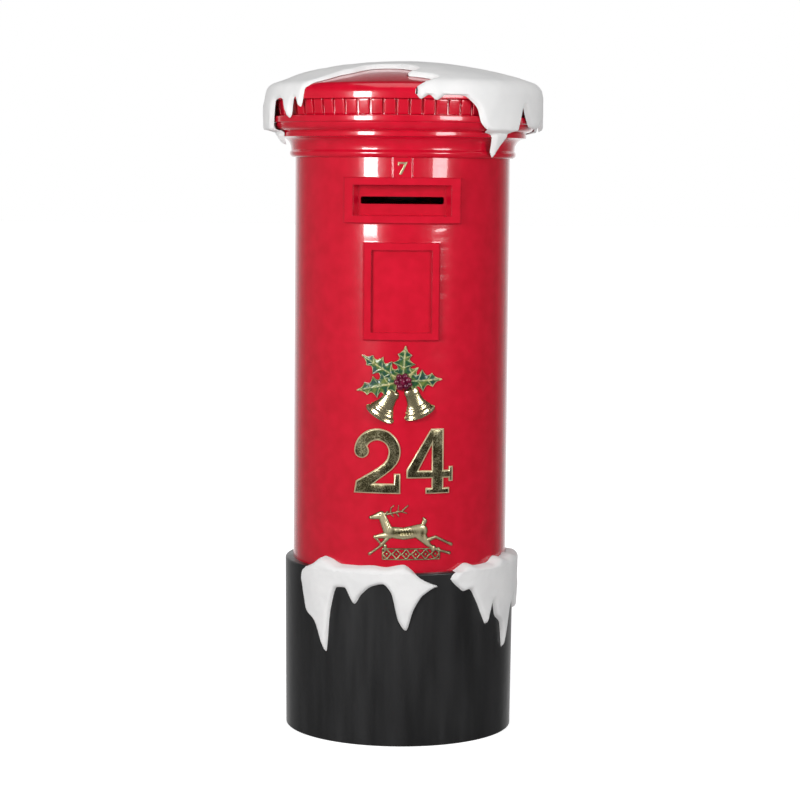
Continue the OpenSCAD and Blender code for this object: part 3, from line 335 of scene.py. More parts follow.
# The mould was dragged on the right of the front, which leaves level streaks in the gloss there
DRAGGED_X = 85.0
near_x = maths(tree, "MULTIPLY", distance_from(tree, sides.outputs["X"], DRAGGED_X), 28.0)
near_x = maths(tree, "MULTIPLY", maths(tree, "SUBTRACT", 1.0, near_x, clamp=True), in_front)
streak = soft_noise(tree, stretched(tree, place, (9.0, 9.0, 38.0), (0, 0.25, 0)), 1.0, 1.5)
dragged = maths(tree, "MULTIPLY", near_x, maths(tree, "MULTIPLY", streak, 1.3))
# The faces of the two raised frames are scraped flat, so the lamps don't show in them
below_cap = maths(tree, "SUBTRACT", (CAP_Z - 5.5) * mm, sides.outputs["Z"])
below_cap = maths(tree, "MULTIPLY", below_cap, 800.0, clamp=True)
scraped = maths(tree, "MULTIPLY", above_skin(tree, place, BODY_R + 7.5, BODY_R + 8.17), below_cap)
scraped = maths(tree, "MULTIPLY", scraped, 0.93)
# The panel inside the lower frame is flat too
across = maths(tree, "LESS_THAN", distance_from(tree, sides.outputs["X"], 0), opening_w * mm)
tall = maths(tree, "LESS_THAN", distance_from(tree, sides.outputs["Z"], NOTICE_Z), (opening_h - 0.5) * mm)
panel = maths(tree, "MULTIPLY", maths(tree, "MULTIPLY", across, tall), in_front)
scraped = maths(tree, "MAXIMUM", scraped, maths(tree, "MULTIPLY", panel, 0.8))
facing = shader_node(tree, "ShaderNodeNewGeometry").outputs["Normal"]
bent = shader_node(tree, "ShaderNodeMix", {5: (0, -1, 0)}, {0: scraped, 4: facing}, data_type="VECTOR")
bent = shader_node(tree, "ShaderNodeVectorMath", links={0: bent.outputs[1]}, operation="NORMALIZE").outputs[0]
bump(tree, gloss, maths(tree, "ADD", height, dragged), 0.16, 0.006, Normal=bent)
# The clear top coat levels out the waves, but not the streaks
bump(tree, gloss, dragged, 0.16, 0.006, "Coat Normal", Normal=bent)


def two_skins(name, outer, inner, keep=None, ring=False):
    """A closed piece between two grids of points, of shape (columns, rows, 3), in millimetres.
    keep marks the cells that are there. ring joins the last column to the first."""
    columns, rows = outer.shape[:2]
    last = columns if ring else columns - 1
    keep = np.ones((last, rows - 1), bool) if keep is None else keep
    number = np.arange(columns * rows).reshape(columns, rows)
    after = np.roll(number, -1, 0)
    a, b = number[:last, :-1], after[:last, :-1]
    c, d = after[:last, 1:], number[:last, 1:]
    half = columns * rows
    cells = np.stack([a, b, c, d], -1)[keep]
    faces = [cells, cells[:, ::-1] + half]
    grown = np.zeros((last + 2, rows + 1), bool)
    grown[1:-1, 1:-1] = keep
    if ring:
        grown[0, 1:-1], grown[-1, 1:-1] = keep[-1], keep[0]
    for first, second, beside in (
        (a, b, grown[1:-1, :-2]), (b, c, grown[2:, 1:-1]), (c, d, grown[1:-1, 2:]), (d, a, grown[:-2, 1:-1])
    ):
        rim = keep & ~beside
        faces.append(np.stack([second[rim], first[rim], first[rim] + half, second[rim] + half], -1))
    faces = np.concatenate(faces)
    points = np.concatenate([outer.reshape(-1, 3), inner.reshape(-1, 3)]) * mm
    used = np.unique(faces)
    renumber = np.full(len(points), -1)
    renumber[used] = np.arange(len(used))
    mesh = bpy.data.meshes.new(name)
    mesh.from_pydata(points[used].tolist(), [], renumber[faces].tolist())
    piece = set_up(name, mesh)
    edit_all()
    merge_and_face_out()
    return piece


def join(name, pieces):
    """Joins finished meshes into one piece."""
    pick(*pieces)
    bpy.ops.object.join()
    pieces[0].name = name
    return pieces[0]


EDGE = np.array([-1.0, -0.4, 0.0, 0.25, 0.7, 1.3, 2.1])


def step_up(inside, height):
    """Height of a raised field at a distance inside its edge: a small fillet, a wall and a rounded top."""
    top = min(1.6, 0.45 * height)
    return np.interp(inside, EDGE, [0, 0.12 * top, 0.5 * height, height - top, height - 0.45 * top,
                                    height - 0.12 * top, height])


def edge_lines(at):
    """Grid lines round an edge that faces away from the middle."""
    return [at - e for e in EDGE] + [at - 4.0, at + 3.5]


# Grid lines across the front, round the sides and across the door's opening
front_x = {0.0, 10.0, 36.0, 50.0, 74.0, 101.0, 117.0, 138.0, 150.0}
for at in (FRAME_W, NOTICE_W, TABLET_W):
    front_x.update(edge_lines(at))
front_x.update(opening_w + e for e in EDGE)
front_x.update([RECESS_BACK_W + d for d in (-2, -0.8, 0, 0.8, 2)])
front_x.update([RECESS_W + d for d in (-4.0, -2.4, -1.4, -0.7, 0.0, 0.8, 1.8, 3.2)])
front_x.update([SLOT_W, SLOT_W - 0.6, SLOT_W - 2.0, SLOT_W - SLOT_R])
corner = [DOOR_R * (1 - math.sin(math.radians(t))) for t in (0, 15, 30, 45, 60, 75, 90)]
back_x = {0.0, 30.0, 60.0, 90.0, 112.0, 151.0}
back_x.update(DOOR_W - c for c in corner)


def in_order(values):
    """The values sorted, without any that are nearly the same."""
    values = np.array(sorted(values))
    return values[np.concatenate([[True], np.diff(values) > 0.12])]


def both_ways(values):
    """The values and their mirror images, in order."""
    values = in_order(values)
    return np.concatenate([-values[:0:-1], values])


front_x = both_ways(front_x)
back_turns = math.pi - np.arcsin(both_ways(back_x)[::-1] / BODY_R)
side_turns = np.radians(np.arange(40.5, 139.5, 2.25))
turns = np.concatenate([np.arcsin(front_x / BODY_R), side_turns, back_turns, math.tau - side_turns[::-1]])

rows = {PLINTH_Z, 383.0, 430.0, 880.0, 1066.0, 1120.0, CAP_Z - 2, CAP_Z}
for middle, lines in (
    (SLOT_Z, edge_lines(FRAME_H) + [0.0, 8.0, 7.4, 6.0, 4.0, 16.0, 26.0]),
    (SLOT_Z, [RECESS_H - d for d in (2.1, 1.3, 0.6, 0.2, 0.0, -0.2, -0.8, -1.9)]),
    (NOTICE_Z, edge_lines(NOTICE_H) + [opening_h + e for e in EDGE]),
    (DOOR_Z, [DOOR_H - c for c in corner]),
):
    rows.update(middle + side * z for z in lines for side in (-1, 1))
turn, z = np.meshgrid(turns, in_order(rows), indexing="ij")
x = BODY_R * np.sin(turn)
front = np.cos(turn) > 0.5
wide, tall = np.abs(x), np.abs(z - SLOT_Z)
raised = step_up(np.minimum(FRAME_W - wide, FRAME_H - tall), FRAME_OUT)
raised = np.maximum(raised, step_up(np.where(z > SLOT_Z, TABLET_W - wide, -9), TABLET_OUT))
notice_tall = np.abs(z - NOTICE_Z)
bar = np.minimum(np.minimum(NOTICE_W - wide, NOTICE_H - notice_tall),
                 np.maximum(wide - opening_w, notice_tall - opening_h))
raised = np.where(front, np.maximum(raised, step_up(bar, NOTICE_OUT)), 0)
depth_y = np.where(front, np.sqrt(np.maximum((BODY_R + raised) ** 2 - x**2, 1)), BODY_R * np.cos(turn))
edge_y = math.sqrt((BODY_R + FRAME_OUT) ** 2 - RECESS_W**2)
slope = (edge_y - RECESS_Y) / (RECESS_W - RECESS_BACK_W)
wall_y = RECESS_Y + np.maximum(wide - RECESS_BACK_W, 0) * slope
inside = np.interp(RECESS_H - tall, [-1.9, -0.8, -0.2, 0, 0.2, 0.6, 1.3],
                   [0, 0.006, 0.028, 0.3, 0.93, 0.985, 1])
near = np.clip(1 - (depth_y - wall_y) / 4, 0, 1) ** 2 * 1.2
sunk = np.where(wide < RECESS_W + 3.5, np.maximum(depth_y - np.minimum(depth_y, wall_y), near), 0)
outer_y = np.where(front & (tall < RECESS_H + 2.5), depth_y - sunk * inside, depth_y)
outer = np.stack([x, -outer_y, z], -1)
inner_x = INNER_R * np.sin(turn)
inner_y = INNER_R * np.cos(turn)
pocket = front & (tall < RECESS_H + 4.2) & (wide < RECESS_W)
inner_y = np.where(pocket, np.minimum(inner_y, np.maximum(wall_y, RECESS_Y) - 4), inner_y)
inner_x = np.where(pocket & (inner_y < INNER_R * np.cos(turn) - 0.1), x, inner_x)
inner = np.stack([inner_x, -inner_y, z], -1)

# The slot and the door's opening are left out of the grid, with their corners drawn onto the arcs
mid_x = (x + np.roll(x, -1, 0))[:, :-1] / 2
mid_z = (z[:, :-1] + z[:, 1:]) / 2
mid_front = front[:, :-1] & np.roll(front, -1, 0)[:, :-1]


def in_rounded(px, pz, w, h, r):
    """True inside an oblong with rounded corners, of half width w and half height h."""
    qx, qz = np.maximum(np.abs(px) - (w - r), 0), np.maximum(np.abs(pz) - (h - r), 0)
    return (np.abs(px) < w) & (np.abs(pz) < h) & (np.hypot(qx, qz) < r)


slot_cells = mid_front & in_rounded(mid_x, mid_z - SLOT_Z, SLOT_W, SLOT_H, SLOT_R)
at_back = ~mid_front & (np.cos(turn[:, :-1]) < 0)
door_cells = at_back & in_rounded(mid_x, mid_z - DOOR_Z, DOOR_W, DOOR_H, DOOR_R)
keep = ~(slot_cells | door_cells)


def beside(cells):
    """For each point of a grid, whether it touches a marked cell, and whether it touches any other."""
    columns, rows = cells.shape
    marked = np.zeros((columns, rows + 1), bool)
    other = marked.copy()
    for dx in (0, 1):
        for dz in (0, 1):
            here = np.roll(cells, dx, 0)
            marked[:, dz:dz + rows] |= here
            other[:, dz:dz + rows] |= ~here
    return marked, other


def draw_to_corner(points, cells, middle, w, h, r, radius):
    """Moves the points on an opening's edge onto its rounded corners. radius is the skin's, or None."""
    hole, solid = beside(cells)
    edge = hole & solid
    px, pz = points[..., 0], points[..., 2] - middle
    edge &= (np.abs(px) > w - r - 1e-3) & (np.abs(pz) > h - r - 1e-3)
    cx, cz = np.sign(px) * (w - r), np.sign(pz) * (h - r)
    far = np.maximum(np.hypot(px - cx, pz - cz), 1e-6)
    nx, nz = cx + (px - cx) * r / far, cz + (pz - cz) * r / far
    points[..., 0] = np.where(edge, nx, points[..., 0])
    points[..., 2] = np.where(edge, nz + middle, points[..., 2])
    if radius:
        points[..., 1] = np.where(edge, np.sqrt(np.maximum(radius**2 - nx**2, 0)), points[..., 1])


for points, radius in ((outer, BODY_R), (inner, INNER_R)):
    draw_to_corner(points, slot_cells, SLOT_Z, SLOT_W, SLOT_H, SLOT_R, None)
    draw_to_corner(points, door_cells, DOOR_Z, DOOR_W, DOOR_H, DOOR_R, radius)
tube = two_skins("tube", outer, inner, keep, ring=True)
flanges = []
for name, low in (("low_flange", PLINTH_Z), ("top_flange", CAP_Z - FLANGE_T)):
    high = low + FLANGE_T
    flanges.append(lathe(
        name, [(FLANGE_R, low), (INNER_R + 1, low), (INNER_R + 1, high), (FLANGE_R, high)], 128))

# The rebate behind the door's opening
SEAT_W, SEAT_BACK = 14.0, 8.0
lines_x = both_ways({0.0, 40.0, 80.0, 109.0, DOOR_W - SEAT_W, DOOR_W - SEAT_W - 4, DOOR_W - 0.2, DOOR_W + 0.2,
                     DOOR_W + SEAT_BACK, *(DOOR_W - SEAT_W - c for c in corner)})
lines_z = both_ways({0.0, 120.0, 200.0, DOOR_H - 0.2, DOOR_H + 0.2, DOOR_H + SEAT_BACK,
                     *(DOOR_H - SEAT_W - c for c in corner)})
rx, rz = np.meshgrid(lines_x, lines_z, indexing="ij")
# Radius of the seat, of its rim against the tube, and of its inner side
SEAT_R, SEAT_RIM_R, SEAT_INNER_R = 233.0, 236.4, 228.0
lid = in_rounded(rx, rz, DOOR_W + 0.1, DOOR_H + 0.1, DOOR_R)
outer = np.stack([rx, np.sqrt(np.where(lid, SEAT_R, SEAT_RIM_R) ** 2 - rx**2), rz + DOOR_Z], -1)
inner = np.stack([rx, np.sqrt(SEAT_INNER_R**2 - rx**2), rz + DOOR_Z], -1)
mid_x = (rx[1:, 1:] + rx[:-1, 1:]) / 2
mid_z = (rz[1:, 1:] + rz[1:, :-1]) / 2
keep = ~in_rounded(mid_x, mid_z, DOOR_W - SEAT_W, DOOR_H - SEAT_W, DOOR_R)
rebate = two_skins("rebate", outer, inner, keep)
body = join("body_moulding", [tube, *flanges, rebate])
dress(smooth(body, 32), gloss_red, "shell", "red_shell", "body_shell")

# Door
# A plate cut from the same moulding, with eased edges, that hangs on two butt hinges and closes on a
# strip of black rubber in its rebate.
DOOR_GAP = 2.5
plate_w, plate_h, plate_r = DOOR_W - DOOR_GAP, DOOR_H - DOOR_GAP, DOOR_R - DOOR_GAP
turned = [0.35, 1.0] + [plate_r * (1 - math.sin(math.radians(t))) for t in (0, 15, 30, 45, 60, 75, 90)]
plate_x, plate_z = np.meshgrid(
    both_ways({0.0, 30.0, 60.0, 90.0, 112.0, *(plate_w - c for c in turned)}),
    both_ways({0.0, 120.0, 200.0, *(plate_h - c for c in turned)}), indexing="ij",
)
to_edge = np.minimum(plate_w - np.abs(plate_x), plate_h - np.abs(plate_z))
round_x = np.clip((np.abs(plate_x) - plate_w + plate_r) / plate_r, 0, 1)
round_z = np.clip((np.abs(plate_z) - plate_h + plate_r) / plate_r, 0, 1)
plate_x = plate_x - np.sign(plate_x) * plate_r * round_x * (1 - np.sqrt(1 - round_z**2 / 2))
plate_z = plate_z - np.sign(plate_z) * plate_r * round_z * (1 - np.sqrt(1 - round_x**2 / 2))
eased = np.interp(to_edge, [0, 0.35, 1.0], [1.0, 0.3, 0])
outer = np.stack([plate_x, np.sqrt((BODY_R - eased) ** 2 - plate_x**2), plate_z + DOOR_Z], -1)
inner = np.stack([plate_x, np.sqrt(INNER_R**2 - plate_x**2), plate_z + DOOR_Z], -1)
door = two_skins("door_plate", outer, inner)
dress(smooth(door, 32), gloss_red, "door", "red_shell", "rear_door")

rubber, tree, gloss, place = new_finish("black_rubber", Roughness=0.75)
dust = soft_noise(tree, place, 90.0, 4.0)
paint(tree, gloss, dust, [(0.35, (0.012, 0.012, 0.012)), (0.7, (0.035, 0.034, 0.033))])
bump(tree, gloss, dust, 0.2, 0.0003)
coat_node(rubber, "door_seal")

# Cap
# The domed lid of the box, one red moulding with a neck roll, a collar, a cove, a fillet, an ovolo and
# a broad ledge under the blocks. It is bolted down through the flange inside.
FILLET_Z, OVOLO_Z, LEDGE_Z, BLOCK_Z, RIM_Z, DOME_Z = 1326.0, 1339.0, 1357.0, 1372.0, 1406.0, 1418.0
RIM_R, SHOULDER_R, SHOULDER_X, TOP_Z = 303.0, 24.0, 279.0, 1486.0
RISE = TOP_Z - DOME_Z
DOME_R = (SHOULDER_X**2 + RISE**2 - SHOULDER_R**2) / (2 * (RISE - SHOULDER_R))
DOME_C = TOP_Z - DOME_R
lean = math.degrees(math.asin(SHOULDER_X / (DOME_R - SHOULDER_R)))
dome = [(DOME_R * math.sin(math.radians(a)), DOME_C + DOME_R * math.cos(math.radians(a)))
        for a in np.linspace(lean, 0.15, 26)]
under_dome = [(x * 0.98, z - 5) for x, z in dome[::-5]]
GROOVE_R = 281.2
neck_roll = arc(244.5, CAP_Z + 9.2, 9.2, -90, 44, 12) + [(250.6, 1298.2), (251.2, 1302)]
cove = arc(275, FILLET_Z - 24, 23.8, 176, 96, 12)
fillet = arc(274.8, FILLET_Z + 2, 2.0, -90, 0, 4) + arc(274.8, OVOLO_Z - 3.4, 2.0, 0, 80, 4)
ovolo = [(275.3, OVOLO_Z - 0.4), (277.5, OVOLO_Z)] + arc(277, LEDGE_Z, 18, -80, -4, 10)
ledge = arc(296.4, LEDGE_Z + 2.4, 2.4, -90, 0, 5) + arc(296.2, BLOCK_Z - 3.2, 2.8, 0, 90, 5)
groove = [(GROOVE_R, BLOCK_Z - 0.1), (GROOVE_R, RIM_Z + 0.1)]
shoulder = arc(RIM_R - 1.8, RIM_Z + 1.8, 1.8, -90, 0, 4) + arc(
    SHOULDER_X, DOME_Z, SHOULDER_R, 0, 90 - lean, 12)
hollow = [(298, 1416), (298, 1411), (276, 1411), (276, 1344), (246, 1321), (246, CAP_Z + FLANGE_T)]
cap = lathe(
    "cap_moulding",
    [(FLANGE_R, CAP_Z + FLANGE_T), (FLANGE_R, CAP_Z)] + neck_roll + cove + fillet + ovolo + ledge + groove
    + shoulder + dome[1:] + under_dome + hollow,
    240,
)
dress(smooth(cap, 28), gloss_red, "shell", "red_shell", "cap")

# Block course
# Sixty-four small blocks under the dome. A strip moulded with the blocks is bent round the cap and
# bonded into its groove, so every edge is a little soft.
BLOCKS, BLOCK_R, BLOCK_DEPTH, BLOCK_GAP = 64, 291.0, 7.0, 4.5
pitch = math.tau * BLOCK_R / BLOCKS
half_gap = [0.0, *(BLOCK_GAP / 2 + d for d in (-0.5, -0.1, 0.25, 0.8, 1.8, 3.4)), pitch / 2]
gap_sunk = [1.0, 0.96, 0.55, 0.2, 0.07, 0.015, 0.0, 0.0]
along = np.concatenate([half_gap, [pitch - g for g in half_gap[-2:0:-1]]])
sunk = np.array(gap_sunk + gap_sunk[-2:0:-1])
turn = np.concatenate([(along + i * pitch) / BLOCK_R for i in range(BLOCKS)]) + pitch / 2 / BLOCK_R
sunk = np.tile(sunk, BLOCKS)
levels = np.array([1372.3, 1372.9, 1374.0, 1376.5, 1389.0, 1401.5, 1404.0, 1405.1, 1405.7])
soft = np.array([1.6, 0.7, 0.15, 0, 0, 0, 0.15, 0.7, 1.6])
# The faces lean in towards the foot
LEAN_IN = 4.6
leaning = LEAN_IN * (RIM_Z - levels) / (RIM_Z - BLOCK_Z)
radius = BLOCK_R - leaning[None, :] - np.maximum(sunk[:, None] * BLOCK_DEPTH, soft[None, :])
radius = np.maximum(radius, GROOVE_R + 1.4)


def round_points(turns, radius, levels):
    """Grid points at turns round the axis, from the front, at a radius and a height."""
    shape = np.broadcast_shapes(turns.shape, np.shape(radius), np.shape(levels))
    radius = np.broadcast_to(radius, shape)
    return np.stack([radius * np.sin(turns), -radius * np.cos(turns), np.broadcast_to(levels, shape)], -1)


outer = round_points(turn[:, None] + 0 * radius, radius, levels[None, :])
inner = round_points(turn[:, None] + 0 * radius, GROOVE_R + 0.4, levels[None, :])
blocks = two_skins("block_strip", outer, inner, ring=True)
dress(smooth(blocks, 40), gloss_red, "shell", "red_shell", "block_course")

# Snow on the cap
# One white relief skin that covers the dome, leaves a bay of red bare at the front left, and hangs in
# drips over the rim. It is cast in soft plaster-like resin and bonded on, so its edges are round.
snow_white, tree, gloss, place = new_finish("snow_white", Roughness=0.72, Specular_IOR_Level=0.3)
drifted = soft_noise(tree, place, 9.0, 4.0)
paint(tree, gloss, drifted, [(0.3, (0.80, 0.80, 0.795)), (0.7, (0.89, 0.885, 0.875))])
dents, grit = soft_noise(tree, place, 60.0, 3.0), soft_noise(tree, place, 650.0, 3.0)
bump(tree, gloss, maths(tree, "ADD", dents, maths(tree, "MULTIPLY", grit, 0.16)), 0.22, 0.003)
gloss.inputs["Subsurface Weight"].default_value = 0.08
gloss.inputs["Subsurface Radius"].default_value = (0.006, 0.006, 0.006)

# Thickness, width of the rounded edge, and gap to the cap's skin
SNOW_T, SNOW_SOFT, SKIN_GAP = 10.7, 12.0, 0.8


def curve_through(knots, at):
    """Smooth curve through [place, value] knots that never overshoots them."""
    k = np.array(knots, float)
    step = np.diff(k[:, 0])
    rise = np.diff(k[:, 1]) / step
    slope = np.zeros(len(k))
    same = rise[1:] * rise[:-1] > 0
    slope[1:-1][same] = 2 * rise[1:][same] * rise[:-1][same] / (rise[1:][same] + rise[:-1][same])
    i = np.clip(np.searchsorted(k[:, 0], at) - 1, 0, len(step) - 1)
    h, t = step[i], (at - k[i, 0]) / step[i]
    return ((2 * t**3 - 3 * t**2 + 1) * k[i, 1] + (t**3 - 2 * t**2 + t) * h * slope[i]
            + (3 * t**2 - 2 * t**3) * k[i + 1, 1] + (t**3 - t**2) * h * slope[i + 1])


def loose_curve(points, steps):
    """Points on a smooth curve through the given points, without the first and the last stretch."""
    p = np.array(points, float)
    t = np.arange(steps)[:, None] / steps
    return np.concatenate([
        0.5 * (2 * b + (c - a) * t + (2 * a - 5 * b + 4 * c - d) * t**2 + (3 * b - a - 3 * c + d) * t**3)
        for a, b, c, d in zip(p, p[1:], p[2:], p[3:])
    ])


def within(points, outline):
    """True for each point inside a closed outline."""
    x, y = points[..., 0], points[..., 1]
    inside = np.zeros(x.shape, bool)
    for (ax, ay), (bx, by) in zip(outline, np.roll(outline, -1, 0)):
        if ay != by:
            inside ^= ((ay > y) != (by > y)) & (x < (bx - ax) * (y - ay) / (by - ay) + ax)
    return inside


def nearest(points, targets):
    """Place in targets and distance of the target nearest to each point."""
    parts = range(0, len(points), 2000)
    found = [np.linalg.norm(points[i:i + 2000, None] - targets[None], axis=2) for i in parts]
    return np.concatenate([f.argmin(1) for f in found]), np.concatenate([f.min(1) for f in found])


def snow_sheet(name, flat, outline, to_skin, ring, thick, soft, lump, thin=None):
    """A relief skin over the part of a flat grid inside an outline. to_skin lifts flat points by a height,
    and thin gives the share of the thickness that is kept at a place."""
    spread = np.concatenate([outline + (np.roll(outline, -1, 0) - outline) * s for s in (0, 0.25, 0.5, 0.75)])
    pair = flat + np.roll(flat, -1, 0)
    cells = within(pair[:, :-1] / 4 + pair[:, 1:] / 4, outline)
    if not ring:
        cells[-1] = False
    touch, beyond = beside(cells)
    edge = touch & beyond
    place, far = nearest(flat[edge], spread)
    flat = flat.copy()
    flat[edge] = spread[place]
    used = touch & ~edge
    base = to_skin(flat, np.zeros(flat.shape[:2]))
    rim = to_skin(spread, np.zeros(len(spread)))
    away = np.zeros(flat.shape[:2])
    away[used] = nearest(base[used], rim)[1]
    for turn in range(3):
        mean = sum(np.roll(away, step, axis) for axis in (0, 1) for step in (1, -1)) / 4
        away = np.where(used, away * 0.5 + mean * 0.5, 0)
    share = np.clip(away / soft, 0, 1)
    lift = thick * np.sqrt(1 - (1 - share) ** 2)
    wave = np.zeros(lift.shape)
    wave[used] = [lump(Vector(p)) for p in base[used].tolist()]
    lift += wave * share
    if thin is not None:
        lift *= thin(base)
    lift = np.where(touch & ~edge, np.maximum(lift, 0.25), 0)
    return smooth(two_skins(name, to_skin(flat, lift), base, cells if ring else cells[:-1], ring), 60)


def cap_hang_r(z):
    """Radius of the wall that snow hangs against, below the rim."""
    return np.interp(z, [CAP_Z + 14, FILLET_Z, OVOLO_Z - 3, OVOLO_Z + 3], [262.5, 278.0, 278.0, RIM_R])


def on_cap(flat, lift):
    """Lifts flat points, whose distance from the middle runs on down past the rim, off the cap's skin."""
    p = np.hypot(flat[..., 0], flat[..., 1])
    off = lift + SKIN_GAP
    join_x = SHOULDER_X * DOME_R / (DOME_R - SHOULDER_R)
    on_dome = np.arcsin(np.minimum(p, join_x) / DOME_R)
    on_shoulder = np.arcsin(np.clip((p - SHOULDER_X) / SHOULDER_R, 0, 1))
    z = DOME_Z - (p - RIM_R)
    r = cap_hang_r(z) + off
    r = np.where(p < RIM_R, SHOULDER_X + (SHOULDER_R + off) * np.sin(on_shoulder), r)
    z = np.where(p < RIM_R, DOME_Z + (SHOULDER_R + off) * np.cos(on_shoulder), z)
    r = np.where(p < join_x, (DOME_R + off) * np.sin(on_dome), r)
    z = np.where(p < join_x, DOME_C + (DOME_R + off) * np.cos(on_dome), z)
    p = np.maximum(p, 1e-9)
    return np.stack([r * flat[..., 0] / p, r * flat[..., 1] / p, z], -1)


# How far the snow hangs below the rim, at turns in degrees from the front towards the right
hang = [
    [-180, 48], [-168, 78], [-158, 36], [-148, 64], [-139, 50], [-130, 80], [-121, 44], [-112, 70],
    [-104, 45], [-96, 80], [-88, 62], [-80, 92], [-76.5, 96], [-73, 110], [-69.5, 88], [-68.2, 40],
    [-66.5, 14], [-62, 9], [-58.5, 14], [-56.7, 34], [-54, 53], [-52.4, 46], [-51.2, 14], [-50.2, 7],
    [-49.1, 11], [-47.8, 26], [-46.5, 30], [-45.4, 18], [-44.7, 2],
]
hang_right = [
    [4.8, 2], [7, 13], [10.5, 4], [13.5, 15], [17.5, 4], [25, 5], [28.5, 16], [31.5, 32], [33.5, 62],
    [38, 80], [42.5, 86], [47.5, 135], [51, 106], [54, 80], [56.5, 46], [58.5, 20], [61, 44], [65, 68],
    [73, 72], [80, 58], [88, 76], [96, 50], [105, 84], [114, 66], [124, 38], [134, 70], [143, 52],
    [152, 84], [162, 48], [172, 62], [180, 48],
]
# The bay that stays bare, as turns and distances from the top, from its left end at the rim to its right end
bay = [
    (-44.6, 330), (-44.6, 303), (-42.6, 297), (-39.6, 281), (-37.4, 262), (-36.2, 246), (-34.6, 231),
    (-32, 217), (-30.5, 204), (-29, 186), (-25.5, 166), (-20, 156), (-12, 153), (-4, 156), (2, 166),
    (6, 180), (8.6, 196), (7.6, 208), (4.6, 218), (2.1, 232), (2.6, 243), (7, 250), (11.4, 261),
    (14.6, 274), (11.2, 286), (6.6, 297), (4.6, 306), (4.6, 330),
]


def flat_point(turns, p):
    """A point of the flat plan, at a turn in degrees and a distance from the middle."""
    turns = np.radians(turns)
    return np.stack([p * np.sin(turns), -p * np.cos(turns)], -1)


bay_line = loose_curve(flat_point(*np.array(bay).T), 14)
right_turns = np.arange(5.0, 180, 0.35)
left_turns = np.arange(-180, -44.8, 0.35)
outline = np.concatenate([
    bay_line[1:], flat_point(right_turns, RIM_R + curve_through(hang_right, right_turns)),
    flat_point(left_turns, RIM_R + curve_through(hang, left_turns)),
])
steps = np.concatenate([np.arange(-95, 95, 0.62), np.arange(95, 265, 1.6)])
lines = np.concatenate([np.arange(0, 96, 12.0), np.arange(96, 272, 6.0), np.arange(272, 304, 3.6),
                        np.arange(304.5, 442, 3.4)])
lines[0] = 1e-6
grid_turn, grid_line = np.meshgrid(steps, lines, indexing="ij")


def cap_lump(p):
    """Uneven thickness of the snow at a point."""
    return 0.9 * noise.noise(p * 0.017) + 0.5 * noise.noise(p * 0.045) - 1.0


def cap_thin(points):
    """The snow is thinner round the left shoulder."""
    p = np.hypot(points[..., 0], points[..., 1])
    left = np.clip((-points[..., 0] - 90) / 150, 0, 1)
    return 1 - 0.6 * left * np.exp(-((p - 282) / 42) ** 2) * np.clip((points[..., 2] - 1395) / 20, 0, 1)


cap_snow = snow_sheet("snow_on_cap", flat_point(grid_turn, grid_line), outline, on_cap, True,
                      SNOW_T, SNOW_SOFT, cap_lump, cap_thin)
dress(cap_snow, snow_white, "shell", "snow", "cap_snow")

# Snow on the plinth
# Two drifts of the same cast snow. Each leans against the body, fills the ledge and spills over the
# plinth's rim in long drips.


def on_plinth(flat, lift, top):
    """flat holds the length round the plinth and the height. Above the ledge the drift leans on the body."""
    turn = flat[..., 0] / PLINTH_R
    z = flat[..., 1]
    face = FOOT_R + (PLINTH_R - FOOT_R) * np.clip(z, 0, PLINTH_Z) / PLINTH_Z + 0.5
    above = np.clip((z - PLINTH_Z) / np.maximum(top(turn) - PLINTH_Z, 1), 0, 1)
    bank = np.sqrt(np.maximum(1 - above**2, 0))
    leans = z > PLINTH_Z + 0.35
    lifted = np.where(leans, BODY_R + 0.6 + (PLINTH_R - BODY_R) * bank, face) + lift
    r = np.where(lift > 0, lifted, np.where(leans, BODY_R + 0.6, face))
    return np.stack([r * np.sin(turn), -r * np.cos(turn), z], -1)


# Upper and lower edges of the drifts: turns in degrees from the front, heights from the plinth's top
left_top = [
    [-55.6, -30], [-54.6, -10], [-51, 2], [-47, 12], [-42, 26], [-37, 22], [-31, 13], [-22, 13],
    [-14, 15], [-7, 12], [2, 18], [6, 8], [10, -9], [14, -19], [20, -27.5],
]
left_bottom = [
    [-55.6, -30], [-53, -70], [-51, -98], [-45, -119], [-40.5, -165], [-38, -183], [-35.5, -90],
    [-31.5, -36], [-27.5, -35], [-22, -69], [-18.5, -48], [-13, -28], [-8, -23], [-4, -40], [0, -105],
    [3.5, -124], [7, -80], [12, -46], [20, -28.5],
]
right_top = [
    [25.6, -14], [26.6, -6], [31, 6], [36, 16], [43, 8], [52, 9], [59, 21], [66, 15], [74, 20], [84, 12],
    [94, 17], [100, 0], [102.6, -15],
]
right_bottom = [
    [25.6, -14], [26.6, -20], [30, -34], [33, -43], [36, -40], [41, -70], [45, -105], [48, -124],
    [50.5, -96], [52.5, -73], [55, -108], [60, -128], [63, -187], [66, -150], [70, -100], [76, -74],
    [82, -112], [87, -84], [94, -60], [102.6, -15],
]
DRIFT_T = 11.0
drift_lines = np.concatenate([np.arange(PLINTH_Z - 192, PLINTH_Z - 8, 2.6), PLINTH_Z + np.array(
    [-7.4, -5, -2.6, -0.6, 0.3, 0.4, 2.4, 4.6, 7, 9.5, 12, 14.5, 17, 19.5, 22, 24.5, 27, 29.5])])


def drift_lump(p):
    """Uneven thickness of a drift at a point."""
    return 1.3 * noise.noise(p * 0.03) + 0.6 * noise.noise(p * 0.08) - 0.9


